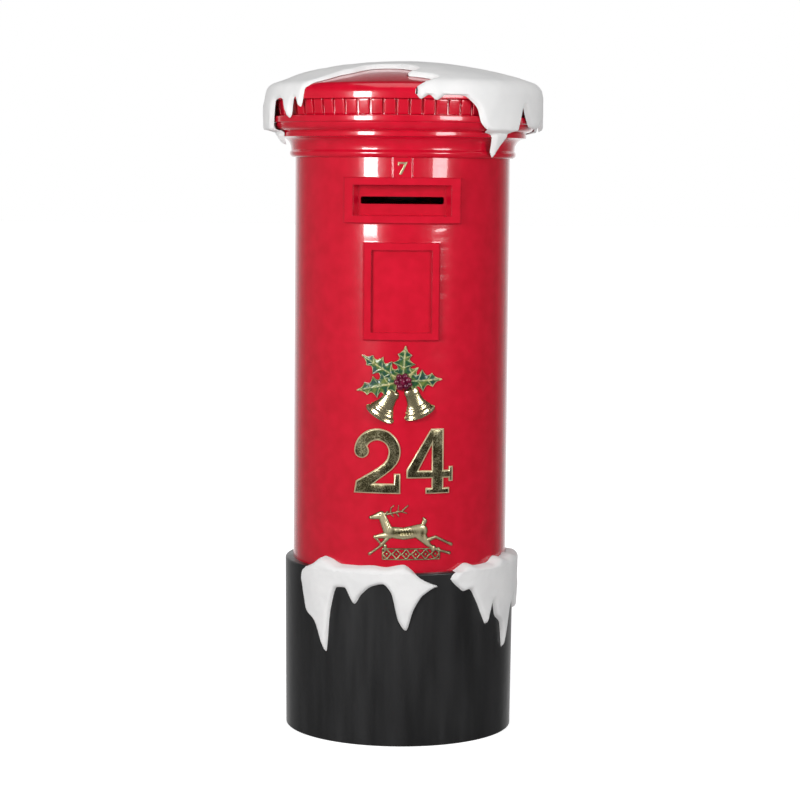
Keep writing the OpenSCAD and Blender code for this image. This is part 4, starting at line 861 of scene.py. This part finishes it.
for name, above, below in (
    ("plinth_snow_left", left_top, left_bottom), ("plinth_snow_right", right_top, right_bottom)
):
    first, last = above[0][0], above[-1][0]
    turns = np.arange(first, last, 0.3)
    upper, lower = (
        np.stack([np.radians(turns) * PLINTH_R, PLINTH_Z + curve_through(edge, turns)], -1)
        for edge in (above, below)
    )
    grid_turn, grid_z = np.meshgrid(np.arange(first - 0.6, last + 0.6, 0.55), drift_lines, indexing="ij")

    def top_of(turn):
        """Height of the drift's upper edge at a turn in radians."""
        return PLINTH_Z + curve_through(above, np.clip(np.degrees(turn), first, last))

    drift = snow_sheet(
        "drift_" + name.rsplit("_", 1)[1],
        np.stack([np.radians(grid_turn) * PLINTH_R, grid_z], -1),
        np.concatenate([upper, lower[::-1]]),
        lambda flat, lift: on_plinth(flat, lift, top_of),
        False, DRIFT_T, SNOW_SOFT, drift_lump,
    )
    dress(drift, snow_white, "shell", "snow", name)

# Gold numerals
# A small 7 on the tablet and a large 2 and 4 on the body. They are cast with a pitted face and bevelled
# edges, and bonded on.
# The faces of the 2 and the 4 are painted dark olive as a painted reflection, and every bevel is pale gold
# with less metal as a painted highlight. The 7's face is pale gold too.


def gold_finish(name, bright, dark, share_of_bright, roughness, pits, metal):
    """Gold in a dark and a bright colour. share_of_bright(tree, place) gives 0 where the dark colour goes and
    1 where the bright one goes:
    on the bells and the reindeer these are darkened hollows and parts rubbed bright, and on the numerals a
    painted dark reflection on the flat face and a painted highlight on the bevel. Roughness and metal are
    given for the dark and the bright parts."""
    made, tree, gloss, place = new_finish(name)
    speckle, patch = soft_noise(tree, place, 420.0, 4.0), soft_noise(tree, place, 45.0, 3.0)
    mixed = maths(tree, "ADD", maths(tree, "MULTIPLY", speckle, 0.6), maths(tree, "MULTIPLY", patch, 0.4))
    # The dark colour is patina in the hollows of the bells and the reindeer, and a painted dark reflection on
    # the numerals' flat faces. The bright colour is rubbed gold on the bells and the reindeer, and a painted
    # highlight on the numerals' bevels, made brighter there by less metal.
    patina_and_dark_reflection = ramp(tree, mixed, [(0.40, dark[0]), (0.50, dark[1]), (0.58, dark[2])])
    highlight_and_worn_gold = ramp(tree, patch, [(0.35, tuple(0.86 * c for c in bright)), (0.65, bright)])
    wear_and_highlight = share_of_bright(tree, place)
    tree.links.new(blend_colour(tree, wear_and_highlight, patina_and_dark_reflection, highlight_and_worn_gold), gloss.inputs["Base Color"])
    paint(tree, gloss, wear_and_highlight, list(zip((0.0, 1.0), roughness)), "Roughness")
    paint(tree, gloss, wear_and_highlight, list(zip((0.0, 1.0), metal)), "Metallic")
    bump(tree, gloss, mixed, pits, 0.0012)
    return made


def cut_out(name, outlines, thick, bevel):
    """A flat plate with bevelled edges, cut to closed outlines of (x, z) in millimetres, its front
    towards -Y. It is split every few millimetres, so that it can bend round the body."""
    curve = bpy.data.curves.new(name, "CURVE")
    curve.dimensions, curve.fill_mode = "2D", "BOTH"
    curve.extrude, curve.bevel_depth, curve.bevel_resolution = (thick - bevel) * mm, bevel * mm, 1
    curve.offset = -bevel * mm
    for outline in outlines:
        line = curve.splines.new("POLY")
        line.points.add(len(outline) - 1)
        for point, (x, z) in zip(line.points, outline):
            point.co = (x * mm, z * mm, 0, 1)
        line.use_cyclic_u = True
    set_up(name, curve)
    bpy.ops.object.convert(target="MESH")
    piece = bpy.context.active_object
    edit_all()
    bpy.ops.mesh.remove_doubles(threshold=2e-6)
    low, high = min(x for x, z in outlines[0]), max(x for x, z in outlines[0])
    for cut in np.arange(low + 3, high - 1, 4.0):
        bpy.ops.mesh.select_all(action="SELECT")
        bpy.ops.mesh.bisect(plane_co=(cut * mm, 0, 0), plane_no=(1, 0, 0))
    bpy.ops.mesh.select_all(action="SELECT")
    bpy.ops.mesh.normals_make_consistent(inside=False)
    bpy.ops.object.mode_set(mode="OBJECT")
    points = vertices_of(piece)
    put_vertices(piece, np.stack([points[:, 0], -points[:, 2], points[:, 1]], -1))
    return piece


def vertices_of(piece):
    """The places of a piece's vertices, in millimetres."""
    points = np.empty(len(piece.data.vertices) * 3)
    piece.data.vertices.foreach_get("co", points)
    return points.reshape(-1, 3) / mm


def put_vertices(piece, points):
    """Moves a piece's vertices to places in millimetres."""
    piece.data.vertices.foreach_set("co", (points * mm).ravel())
    piece.data.update()


BOND = 0.06


def lay_on_body(points, x, z, out=0.0):
    """Moves points with their depth along -Y from a flat plan to the round body, at x and z."""
    across = points[..., 0] + x
    r = BODY_R + BOND + out + np.maximum(-points[..., 1], 0)
    return np.stack([across, -np.sqrt(r**2 - across**2), points[..., 2] + z], -1)


NUMERAL_W, NUMERAL_H, STROKE, NUMERAL_T = 101.0, 142.0, 26.0, 5.0
TWO_X, FOUR_X, NUMERAL_Z = -100.0, 14.0, 554.0
head_r, ball_r = NUMERAL_W / 2, 0.16 * NUMERAL_W
head_z = NUMERAL_H - head_r
foot, heel = 0.86 * STROKE, NUMERAL_W - 14.3
two = (
    [(0, 0), (NUMERAL_W, 0), (NUMERAL_W, 1.7 * STROKE), (heel, 1.7 * STROKE), (heel, foot),
     (44, foot), (52, 29), (68, 41), (83, 53), (93, 65)]
    + arc(head_r, head_z, head_r, -18, 176, 46)
    + arc(ball_r, head_z + 1, ball_r, 178, 396, 24)
    + arc(head_r, head_z, head_r - STROKE, 152, -14, 34)
    + [(71.5, 76), (65, 67.5), (53, 57.5), (36, 46.5), (17, 34.5), (4, 26)]
)
SERIF, SERIF_OUT = 13.0, 7.8
stem, bar_z, serif_x = 0.54 * NUMERAL_W, 0.24 * NUMERAL_H, NUMERAL_W - 9.4
right, bar_top = stem + STROKE, bar_z + 0.66 * STROKE
four = [
    (0, bar_z), (stem, bar_z), (stem, SERIF), (stem - SERIF, SERIF), (stem - SERIF, 0), (right + SERIF, 0),
    (right + SERIF, SERIF), (right, SERIF), (right, bar_z), (serif_x, bar_z), (serif_x, bar_z - SERIF_OUT),
    (NUMERAL_W, bar_z - SERIF_OUT), (NUMERAL_W, bar_top + SERIF_OUT), (serif_x, bar_top + SERIF_OUT),
    (serif_x, bar_top), (right, bar_top), (right, NUMERAL_H), (stem - 2, NUMERAL_H), (0, bar_top + 2),
]
eye = [(stem, NUMERAL_H - 1.35 * STROKE), (stem, bar_top), (0.26 * NUMERAL_W, bar_top)]
seven = [
    (-10, 13.5), (10, 13.5), (10, 12), (-2, -13.5), (-7.5, -13.5), (3.6, 9.5), (-7.5, 9.5), (-7.5, 5.5),
    (-10, 5.5),
]

# Dark olive for the flat faces of the 2 and the 4: a painted reflection of the dim room
painted_dark_reflection = ((0.055, 0.046, 0.022), (0.17, 0.15, 0.078), (0.52, 0.47, 0.29))
pale_gold = (0.86, 0.76, 0.47)
for name, outlines, thick, bevel, x, z, out, node in (
    ("seven", [seven], 2.0, 0.8, 0, SLOT_Z + FRAME_H + 20, TABLET_OUT, "number_seven"),
    ("two", [two], NUMERAL_T, 3.2, TWO_X, NUMERAL_Z, 0, "numeral_two"),
    ("four", [four, eye], NUMERAL_T, 3.2, FOUR_X, NUMERAL_Z, 0, "numeral_four"),
):
    plate = cut_out(name + "_casting", outlines, thick, bevel)
    put_vertices(plate, lay_on_body(vertices_of(plate), x, z, out))
    face = BODY_R + BOND + out + thick
    # The flat face gets the dark colour, a painted reflection, and the bevel gets the pale gold with less
    # metal, a painted highlight
    finish = gold_finish(
        "gold_painted_light_" + name, pale_gold, painted_dark_reflection if bevel > 1 else (pale_gold,) * 3,
        lambda tree, place: maths(tree, "SUBTRACT", 1.0, above_skin(tree, place, face - 0.3, face - 0.04)),
        (0.36, 0.30), 0.35, (0.95, 0.45),
    )
    dress(smooth(plate, 50), finish, "shell", "gold", node)

# Holly and berries
# Spiny leaves with raised veins and thick edges, painted green with the high parts left cream, and a
# bunch of glossy dark red berries over their stalks. Cast flat, then bonded to the body.
HOLLY_X, HOLLY_Z, BERRY_R = 4.0, 799.0, 7.5
leaf_green, tree, gloss, place = new_finish(
    "holly_paint", Roughness=0.3, Coat_Weight=0.5, Coat_Roughness=0.12)
raised = shader_node(tree, "ShaderNodeAttribute", attribute_name="raised").outputs["Fac"]
blotch, rub = soft_noise(tree, place, 70.0, 3.0), soft_noise(tree, place, 190.0, 3.0)
green = ramp(tree, blotch, [
    (0.38, (0.006, 0.055, 0.045)), (0.50, (0.018, 0.10, 0.028)), (0.62, (0.15, 0.21, 0.04))])
cream = ramp(tree, blotch, [(0.4, (0.52, 0.60, 0.30)), (0.6, (0.74, 0.64, 0.30))])
edge = maths(tree, "MULTIPLY", raised, ramp(tree, rub, [(0.38, 0.25), (0.58, 1.0)]))
tree.links.new(blend_colour(tree, edge, green, cream), gloss.inputs["Base Color"])
bump(tree, gloss, rub, 0.25, 0.0008)


def holly_leaf(name, turn, length, width, points, lift):
    """One leaf from its stalk to its tip. Spines stand at every share 1/points of its length."""
    u, v = np.meshgrid(np.linspace(0.02, 1, 25 * points + 1), np.linspace(-1, 1, 37), indexing="ij")
    half = width * np.sin(np.pi * u**0.85) * (1 - 0.5 * np.abs(np.sin(np.pi * points * u))) + 1.2 * (1.02 - u)
    x, y = u * length + 2 * u, v * half
    along = (u + 0.13 * (1 - np.abs(v))) * points
    vein = np.exp(-((along - np.round(along)) / points * length / 1.5) ** 2) * np.clip(half / 8, 0, 1)
    rib = np.exp(-(y / 1.5) ** 2)
    rim = np.clip((np.abs(y) - half + 3.0) / 2.2, 0, 1)
    rim = rim * rim * (3 - 2 * rim)
    wave = np.cos(2 * np.pi * points * u) * v**2
    depth = 2.5 + lift + 1.2 * (1 - v**2) + 0.9 * wave + 1.3 * rib + 0.8 * vein * (1 - rib) + 0.5 * rim
    depth = np.where(np.abs(v) > 0.999, depth - 1.6, depth)
    turn = math.radians(turn)
    flat_x, flat_z = x * math.cos(turn) - y * math.sin(turn), x * math.sin(turn) + y * math.cos(turn)
    top = lay_on_body(np.stack([flat_x, -depth, flat_z], -1), HOLLY_X, HOLLY_Z)
    under = lay_on_body(np.stack([flat_x, 0 * depth, flat_z], -1), HOLLY_X, HOLLY_Z)
    piece = two_skins(name, top, under)
    spots = {tuple(np.round(p, 2)): s for p, s in zip(
        top.reshape(-1, 3), np.maximum.reduce([rib, 0.8 * vein, rim]).ravel())}
    shares = [spots.get(tuple(np.round(p, 2)), 0.0) for p in vertices_of(piece)]
    layer = piece.data.attributes.new("raised", "FLOAT", "POINT")
    layer.data.foreach_set("value", shares)
    return smooth(piece, 60)


leaves = join("holly_sprig", [
    holly_leaf("leaf_top", 85.5, 76, 25, 4, 0.9),
    holly_leaf("leaf_upper_left", 148, 104, 25, 5, 0.2),
    holly_leaf("leaf_lower_left", 192, 100, 27, 5, 1.1),
    holly_leaf("leaf_right", 3, 84, 24, 4, 0.5),
    holly_leaf("leaf_small", 42, 44, 15, 3, 0.0),
])
dress(leaves, leaf_green, "shell", "leaf_green", "holly_leaves")

berry_red, tree, gloss, place = new_finish("berry_paint", Roughness=0.16, Coat_Weight=0.6)
shade = soft_noise(tree, place, 60.0, 2.0)
paint(tree, gloss, shade, [(0.35, (0.075, 0.004, 0.022)), (0.65, (0.20, 0.010, 0.045))])
bump(tree, gloss, shade, 0.1, 0.001)


def ball(radius, middle=(0, 0, 0), segments=32, rings=20):
    """A ball in millimetres. radius is one number or one for each axis."""
    bpy.ops.object.select_all(action="DESELECT")
    bpy.ops.mesh.primitive_uv_sphere_add(segments=segments, ring_count=rings, radius=mm)
    made = bpy.context.active_object
    put_vertices(made, vertices_of(made) * np.array(radius) + np.array(middle))
    return made


bunch = []
for x, z, r, depth in (
    (0, 0, 1.0, 9.6), (12, 3, 1.0, 7.8), (5, 11.5, 0.92, 7.6), (-7.5, 10, 0.96, 7.8), (-12.5, -1, 0.9, 7.4),
    (-6, -11, 1.0, 8.0), (7.5, -10, 0.94, 7.6), (15.5, -6, 0.72, 6.6), (-3, 3.5, 0.6, 13.5),
):
    spot = lay_on_body(np.array([[x, -depth, z]]), HOLLY_X, HOLLY_Z)[0]
    bunch.append(smooth(ball(r * BERRY_R, spot), 60))
dress(join("berry_bunch", bunch), berry_red, "shell", "berry_red", "holly_berries")

# Bells
# Two gold bells in half relief, swung apart, with ribs above the lip and a clapper in the mouth.
# Each is a turned form pressed flat against the body.
rubbed_gold = gold_finish(
    "bell_gold", (0.88, 0.76, 0.46), ((0.10, 0.075, 0.022), (0.30, 0.24, 0.10), (0.55, 0.46, 0.24)),
    lambda tree, place: above_skin(tree, place, BODY_R + 0.4, BODY_R + 5.5), (0.34, 0.22), 0.3, (0.95, 0.93))
# Share of the round form that stands out, and how far the mouth is tipped forwards
RELIEF, TIPPED = 0.42, 17.0
# Ribs of the wall: share of its height, share of the mouth's radius, and narrowness
BELL_RIBS = ((0.15, 0.07, 0.028), (0.26, 0.055, 0.022), (0.35, 0.04, 0.02), (0.93, 0.03, 0.03))
for name, turn, z, tilt, length, mouth in (
    ("bell_left", -10.8, 727.0, 31.0, 60.0, 34.0), ("bell_right", 10.0, 730.0, -22.0, 58.0, 35.0)
):
    crown = 0.40 * mouth
    wall = []
    for share in np.linspace(0, 1, 49):
        r = crown * 1.1 + (0.88 * mouth - crown * 1.1) * (1 - share) ** 2.4
        r += sum(mouth * out * math.exp(-((share - at) / narrow) ** 2) for at, out, narrow in BELL_RIBS)
        wall.append((r, length * (0.07 + 0.84 * share)))
    lip = [(0.80 * mouth, 2.5), (0.92 * mouth, 0.4), (mouth, 0.0), (1.01 * mouth, 0.03 * length),
           (0.96 * mouth, 0.055 * length)]
    top = arc(crown - 3.5, 0.93 * length, 4.2, 10, 80, 5) + [(0.3 * crown, length), (0, length)]
    bell = lathe(name + "_body", lip + wall + top + [(0, 0.35 * length), (0.5 * mouth, 0.25 * length)], 72)
    clapper = ball(0.2 * mouth, (0, 0, 0.5))
    bell = join(name + "_casting", [smooth(bell, 50), smooth(clapper, 60)])
    points = vertices_of(bell)
    lean, swing = math.radians(TIPPED), math.radians(tilt)
    deep = points[:, 1] * math.cos(lean) - (points[:, 2] - 0.5 * length) * math.sin(lean) * 0.3
    tall = points[:, 2] + points[:, 1] * math.sin(lean)
    flat = np.stack([points[:, 0] * math.cos(swing) + tall * math.sin(swing), RELIEF * deep,
                     tall * math.cos(swing) - points[:, 0] * math.sin(swing)], -1)
    put_vertices(bell, lay_on_body(flat, BODY_R * math.sin(math.radians(turn)), z))
    dress(bell, rubbed_gold, "shell", "gold", name)

# Reindeer
# A leaping reindeer over a run of lozenges, cast in one and bonded on. The form is rounded, with ribs, a
# hollow flank and sharp antlers, and it is rubbed bright over dark hollows.
DEER_X, DEER_Z = 23.0, 462.0


def limb(start, end, first, last):
    """A tapered bar with round ends, lying on the plan, as deep as its width asks."""
    bar = join("limb", [
        ball((r, min(6.0, 2.5 + 0.3 * r), r), (x, 0, z), 28, 16)
        for (x, z), r in ((start, first), (end, last))
    ])
    edit_all()
    bpy.ops.mesh.convex_hull()
    bpy.ops.object.mode_set(mode="OBJECT")
    return bar


# Bars of the body, neck, head, legs, antlers and stays: both ends and the radius at each
deer_limbs = [
    ((-42, 8), (-14, 5), 12.5, 13.5), ((-14, 5), (24, 12), 13.5, 14.5), ((-48, 12), (-61, 43), 11, 8.5),
    ((-63, 45), (-80, 40), 9, 5), ((-78, 40.5), (-86, 39), 5, 4), ((-55, 47), (-48, 53.5), 3.2, 1.2),
    ((28, 24), (32, 33), 5, 5), ((32, 33), (29, 39), 5, 2.5), ((-44, 2), (-77, -3), 8.5, 3.4),
    ((-77, -3), (-64, -17), 3, 2.4), ((-64, -17), (-61, -21), 2.4, 3), ((-50, -6), (-66, -24), 5, 2.8),
    ((-66, -24), (-84, -38), 2.6, 2.6), ((-84, -38), (-88, -41), 2.8, 3.6), ((20, 6), (40, -19), 13, 5.5),
    ((37, -10), (56, -3), 5, 3.4), ((56, -3), (84, -18), 3.2, 2.8), ((84, -18), (90, -21), 3, 3.8),
    ((38, -18), (56, -30), 5, 3), ((56, -30), (80, -38), 3, 2.7), ((80, -38), (86, -40), 3, 3.8),
    ((-56, 46), (-38, 50), 2.4, 2.2), ((-38, 50), (-18, 54.5), 2.2, 2), ((-18, 54.5), (-5, 66.5), 2, 1.6),
    ((-43, 50), (-42, 61), 1.8, 1.5), ((-42, 61), (-35, 67), 1.5, 1.1), ((-27, 53), (-25, 67), 1.7, 1.0),
    ((-42, 48), (-36, 41.5), 1.6, 1.0), ((-30, 50.5), (-24, 42), 1.6, 1.0), ((-17, 53), (-7, 49.5), 1.6, 1.0),
    ((-54, -22), (-54, -30), 4, 4), ((51, -27), (51, -30), 6, 6),
]
# The strip of lozenges, its rim drawn in from its edge, and the radii of rim, lozenges and studs
STRIP_L, STRIP_H, STRIP_N, STRIP_LEFT, STRIP_LOW = 127.0, 26.0, 6, -61.0, -53.0
RIM_IN, RIM_BAR, LOZENGE_BAR, STUD = 1.4, 1.5, 1.9, 3.1
left, right = STRIP_LEFT + RIM_IN, STRIP_LEFT + STRIP_L - RIM_IN
low, high, middle = STRIP_LOW + RIM_IN, STRIP_LOW + STRIP_H - RIM_IN, STRIP_LOW + STRIP_H / 2
for start, end in (
    ((left, low), (right, low)), ((left, high), (right, high)),
    ((left, low), (left, high)), ((right, low), (right, high)),
):
    deer_limbs.append((start, end, RIM_BAR, RIM_BAR))
pitch = STRIP_L / STRIP_N
for i in range(STRIP_N):
    x = STRIP_LEFT + (i + 0.5) * pitch
    for across in (1.2 - pitch / 2, pitch / 2 - 1.2):
        for up in (2.4 - STRIP_H / 2, STRIP_H / 2 - 2.4):
            deer_limbs.append(((x + across, middle), (x, middle + up), LOZENGE_BAR, LOZENGE_BAR))
    deer_limbs.append(((x, middle), (x, middle + 0.01), STUD, STUD))

deer = join("reindeer", [limb(*bar) for bar in deer_limbs])
blend = deer.modifiers.new("blend", "REMESH")
blend.mode, blend.voxel_size = "VOXEL", 0.75 * mm
bpy.ops.object.modifier_apply(modifier="blend")
soften = deer.modifiers.new("soften", "SMOOTH")
soften.factor, soften.iterations = 0.5, 4
bpy.ops.object.modifier_apply(modifier="soften")
points = vertices_of(deer)
x, z = points[:, 0], points[:, 2]


def patch_of(px, pz, wide, tall, slant=0.0):
    """1 in the middle of an oval, falling off to its edge."""
    return np.exp(-(((x - px) / wide) ** 2 + ((z - pz - slant * (x - px)) / tall) ** 2))


flank = 2.6 * patch_of(-12, 7, 26, 4.5, 0.05) + 1.6 * patch_of(27, 4, 4, 9) + 1.2 * patch_of(-36, 12, 5, 7)
eye_pit = 1.4 * patch_of(-66, 47, 1.8, 1.6)
ribs = 0.7 * np.cos((x + 0.35 * z) * 1.05) * patch_of(-8, 9, 17, 10)
mane = 0.7 * np.cos((x - 0.4 * z) * 1.3) * patch_of(-52, 22, 8, 12)
nostril = 0.9 * patch_of(-85, 41, 1.5, 1.2)
front = np.clip(-points[:, 1] / 2, 0, 1)
depth = -points[:, 1] - (flank + eye_pit + nostril - ribs - mane) * front
bright = np.clip((depth - 1.6) / 2.6, 0, 1) * np.clip(1 - 0.55 * (flank + eye_pit), 0, 1)
bright = np.clip(bright + 0.5 * (ribs + mane), 0, 1)
put_vertices(deer, lay_on_body(np.stack([x, -depth, z], -1), DEER_X, DEER_Z))
deer.data.attributes.new("bright", "FLOAT", "POINT").data.foreach_set("value", bright)
deer_gold = gold_finish(
    "reindeer_gold", (0.88, 0.78, 0.48), ((0.05, 0.042, 0.014), (0.16, 0.13, 0.05), (0.42, 0.36, 0.17)),
    lambda tree, place: shader_node(tree, "ShaderNodeAttribute", attribute_name="bright").outputs["Fac"],
    (0.4, 0.28), 0.3, (0.95, 0.6))
dress(smooth(deer, 60), deer_gold, "shell", "gold", "reindeer_casting")

# Floor, background and lamps
# The box stands on a plain white floor in a white studio, with one tall soft lamp to the left, a wider
# and dimmer one to the right, and a faint one overhead.
floor_finish, tree, gloss, place = new_finish("white_floor", Roughness=0.9, Specular_IOR_Level=0.1)
paint(tree, gloss, soft_noise(tree, place, 1.4, 2.0), [(0.3, 0.80), (0.7, 0.84)])
rays = shader_node(tree, "ShaderNodeLightPath")
# Away from the box's shadow the floor fades into the white background
away = shader_node(tree, "ShaderNodeVectorMath", links={0: place}, operation="LENGTH").outputs["Value"]
glow = ramp(tree, maths(tree, "MULTIPLY", away, 0.2), [(0.12, 0.72), (0.5, 1.0)])
glow = maths(tree, "MULTIPLY", rays.outputs["Is Camera Ray"], glow)
tree.links.new(glow, gloss.inputs["Emission Strength"])
gloss.inputs["Emission Color"].default_value = (1, 1, 1, 1)
# Reflections see the room in place of the floor, so no horizon shows in the gloss
clear = shader_node(tree, "ShaderNodeBsdfTransparent")
either = shader_node(tree, "ShaderNodeMixShader", links={
    0: rays.outputs["Is Glossy Ray"], 1: gloss.outputs[0], 2: clear.outputs[0]})
tree.links.new(either.outputs[0], tree.nodes["Material Output"].inputs["Surface"])
bpy.ops.mesh.primitive_plane_add(size=60, location=(0, 20, -0.0005))
floor = bpy.context.active_object
floor.name = "floor"
bpy.ops.object.transform_apply(location=True, rotation=True, scale=True)
floor.data.materials.append(floor_finish)

world = bpy.data.worlds.new("studio")
bpy.context.scene.world = world
world.use_nodes = True
tree = world.node_tree
tree.nodes.clear()
sky_place = shader_node(tree, "ShaderNodeTexCoord").outputs["Generated"]
sides = shader_node(tree, "ShaderNodeSeparateXYZ", links={"Vector": sky_place})
# The room is dim round the camera, darker to the right, and white behind the box but for the ceiling
grey = ramp(tree, maths(tree, "ADD", maths(tree, "MULTIPLY", sides.outputs["Y"], 0.5), 0.5),
            [(0.0, 0.07), (0.55, 0.06), (0.78, 0.06), (0.86, 0.16), (0.93, 0.42), (0.985, 0.95)])
left_glow = ramp(tree, maths(tree, "MULTIPLY", sides.outputs["X"], -1.0), [(0.3, 0.0), (0.95, 0.08)])
ceiling = ramp(tree, sides.outputs["Z"], [(0.12, 1.0), (0.45, 0.35), (0.60, 0.07)])
grey = maths(tree, "MULTIPLY", maths(tree, "ADD", grey, left_glow), ceiling)
# The back wall glows over the box, which the dome shows
wall = ramp(tree, sides.outputs["Z"], [(0.06, 0.0), (0.18, 0.85), (0.30, 0.68), (0.42, 0.32), (0.57, 0.04)])
behind = maths(tree, "MULTIPLY", maths(tree, "SUBTRACT", sides.outputs["Y"], 0.55), 4.0, clamp=True)
grey = maths(tree, "MAXIMUM", grey, maths(tree, "MULTIPLY", wall, behind))
rays = shader_node(tree, "ShaderNodeLightPath")
mirrored = maths(tree, "MAXIMUM", rays.outputs["Is Glossy Ray"], rays.outputs["Is Transmission Ray"])
dull = blend_colour(tree, mirrored, (0.31, 0.31, 0.315), grey)
seen = blend_colour(tree, rays.outputs["Is Camera Ray"], dull, (1.0, 1.0, 1.0))
sky = shader_node(tree, "ShaderNodeBackground", {"Strength": 1.0}, {"Color": seen})
shader_node(tree, "ShaderNodeOutputWorld", links={"Surface": sky.outputs[0]})


def soft_lamp(name, turn, distance, low, high, width, power):
    """A flat lamp at a turn from the front towards +X, aimed at the box's axis."""
    lamp = bpy.data.lights.new(name, "AREA")
    lamp.shape = "RECTANGLE"
    lamp.size, lamp.size_y = width, high - low
    lamp.energy = power
    thing = bpy.data.objects.new(name, lamp)
    bpy.context.scene.collection.objects.link(thing)
    middle = (low + high) / 2
    turn = math.radians(turn)
    thing.location = (distance * math.sin(turn), -distance * math.cos(turn), middle)
    aim = Vector((0, 0, middle)) - thing.location
    thing.rotation_euler = aim.to_track_quat("-Z", "Y").to_euler()
    return thing


soft_lamp("left_lamp", -32, 2.4, 1.05, 1.85, 0.62, 31)
soft_lamp("right_lamp", 38, 2.4, 1.15, 1.95, 0.85, 19)
top_lamp = soft_lamp("top_lamp", 0, 0, 2.4, 4.4, 2.2, 14)
top_lamp.location = (0.3, -0.6, 3.4)
top_lamp.rotation_euler = (0, 0, 0)

# Camera, straight in front, a little above the posting slot and tipped down
CAMERA_Y, CAMERA_Z, CAMERA_PITCH, CAMERA_ROLL = -5.336, 1.250, 4.54, 0.5
camera = bpy.data.cameras.new("camera")
camera.lens, camera.sensor_width = 106.5, 36
camera.shift_x, camera.shift_y = -0.0012, -0.05
view = bpy.data.objects.new("camera", camera)
bpy.context.scene.collection.objects.link(view)
view.location = (0, CAMERA_Y, CAMERA_Z)
tip = Matrix.Rotation(math.radians(90 - CAMERA_PITCH), 3, "X")
view.rotation_euler = (tip @ Matrix.Rotation(math.radians(CAMERA_ROLL), 3, "Z")).to_euler()
bpy.context.scene.camera = view

bpy.context.scene.view_settings.view_transform = "Standard"
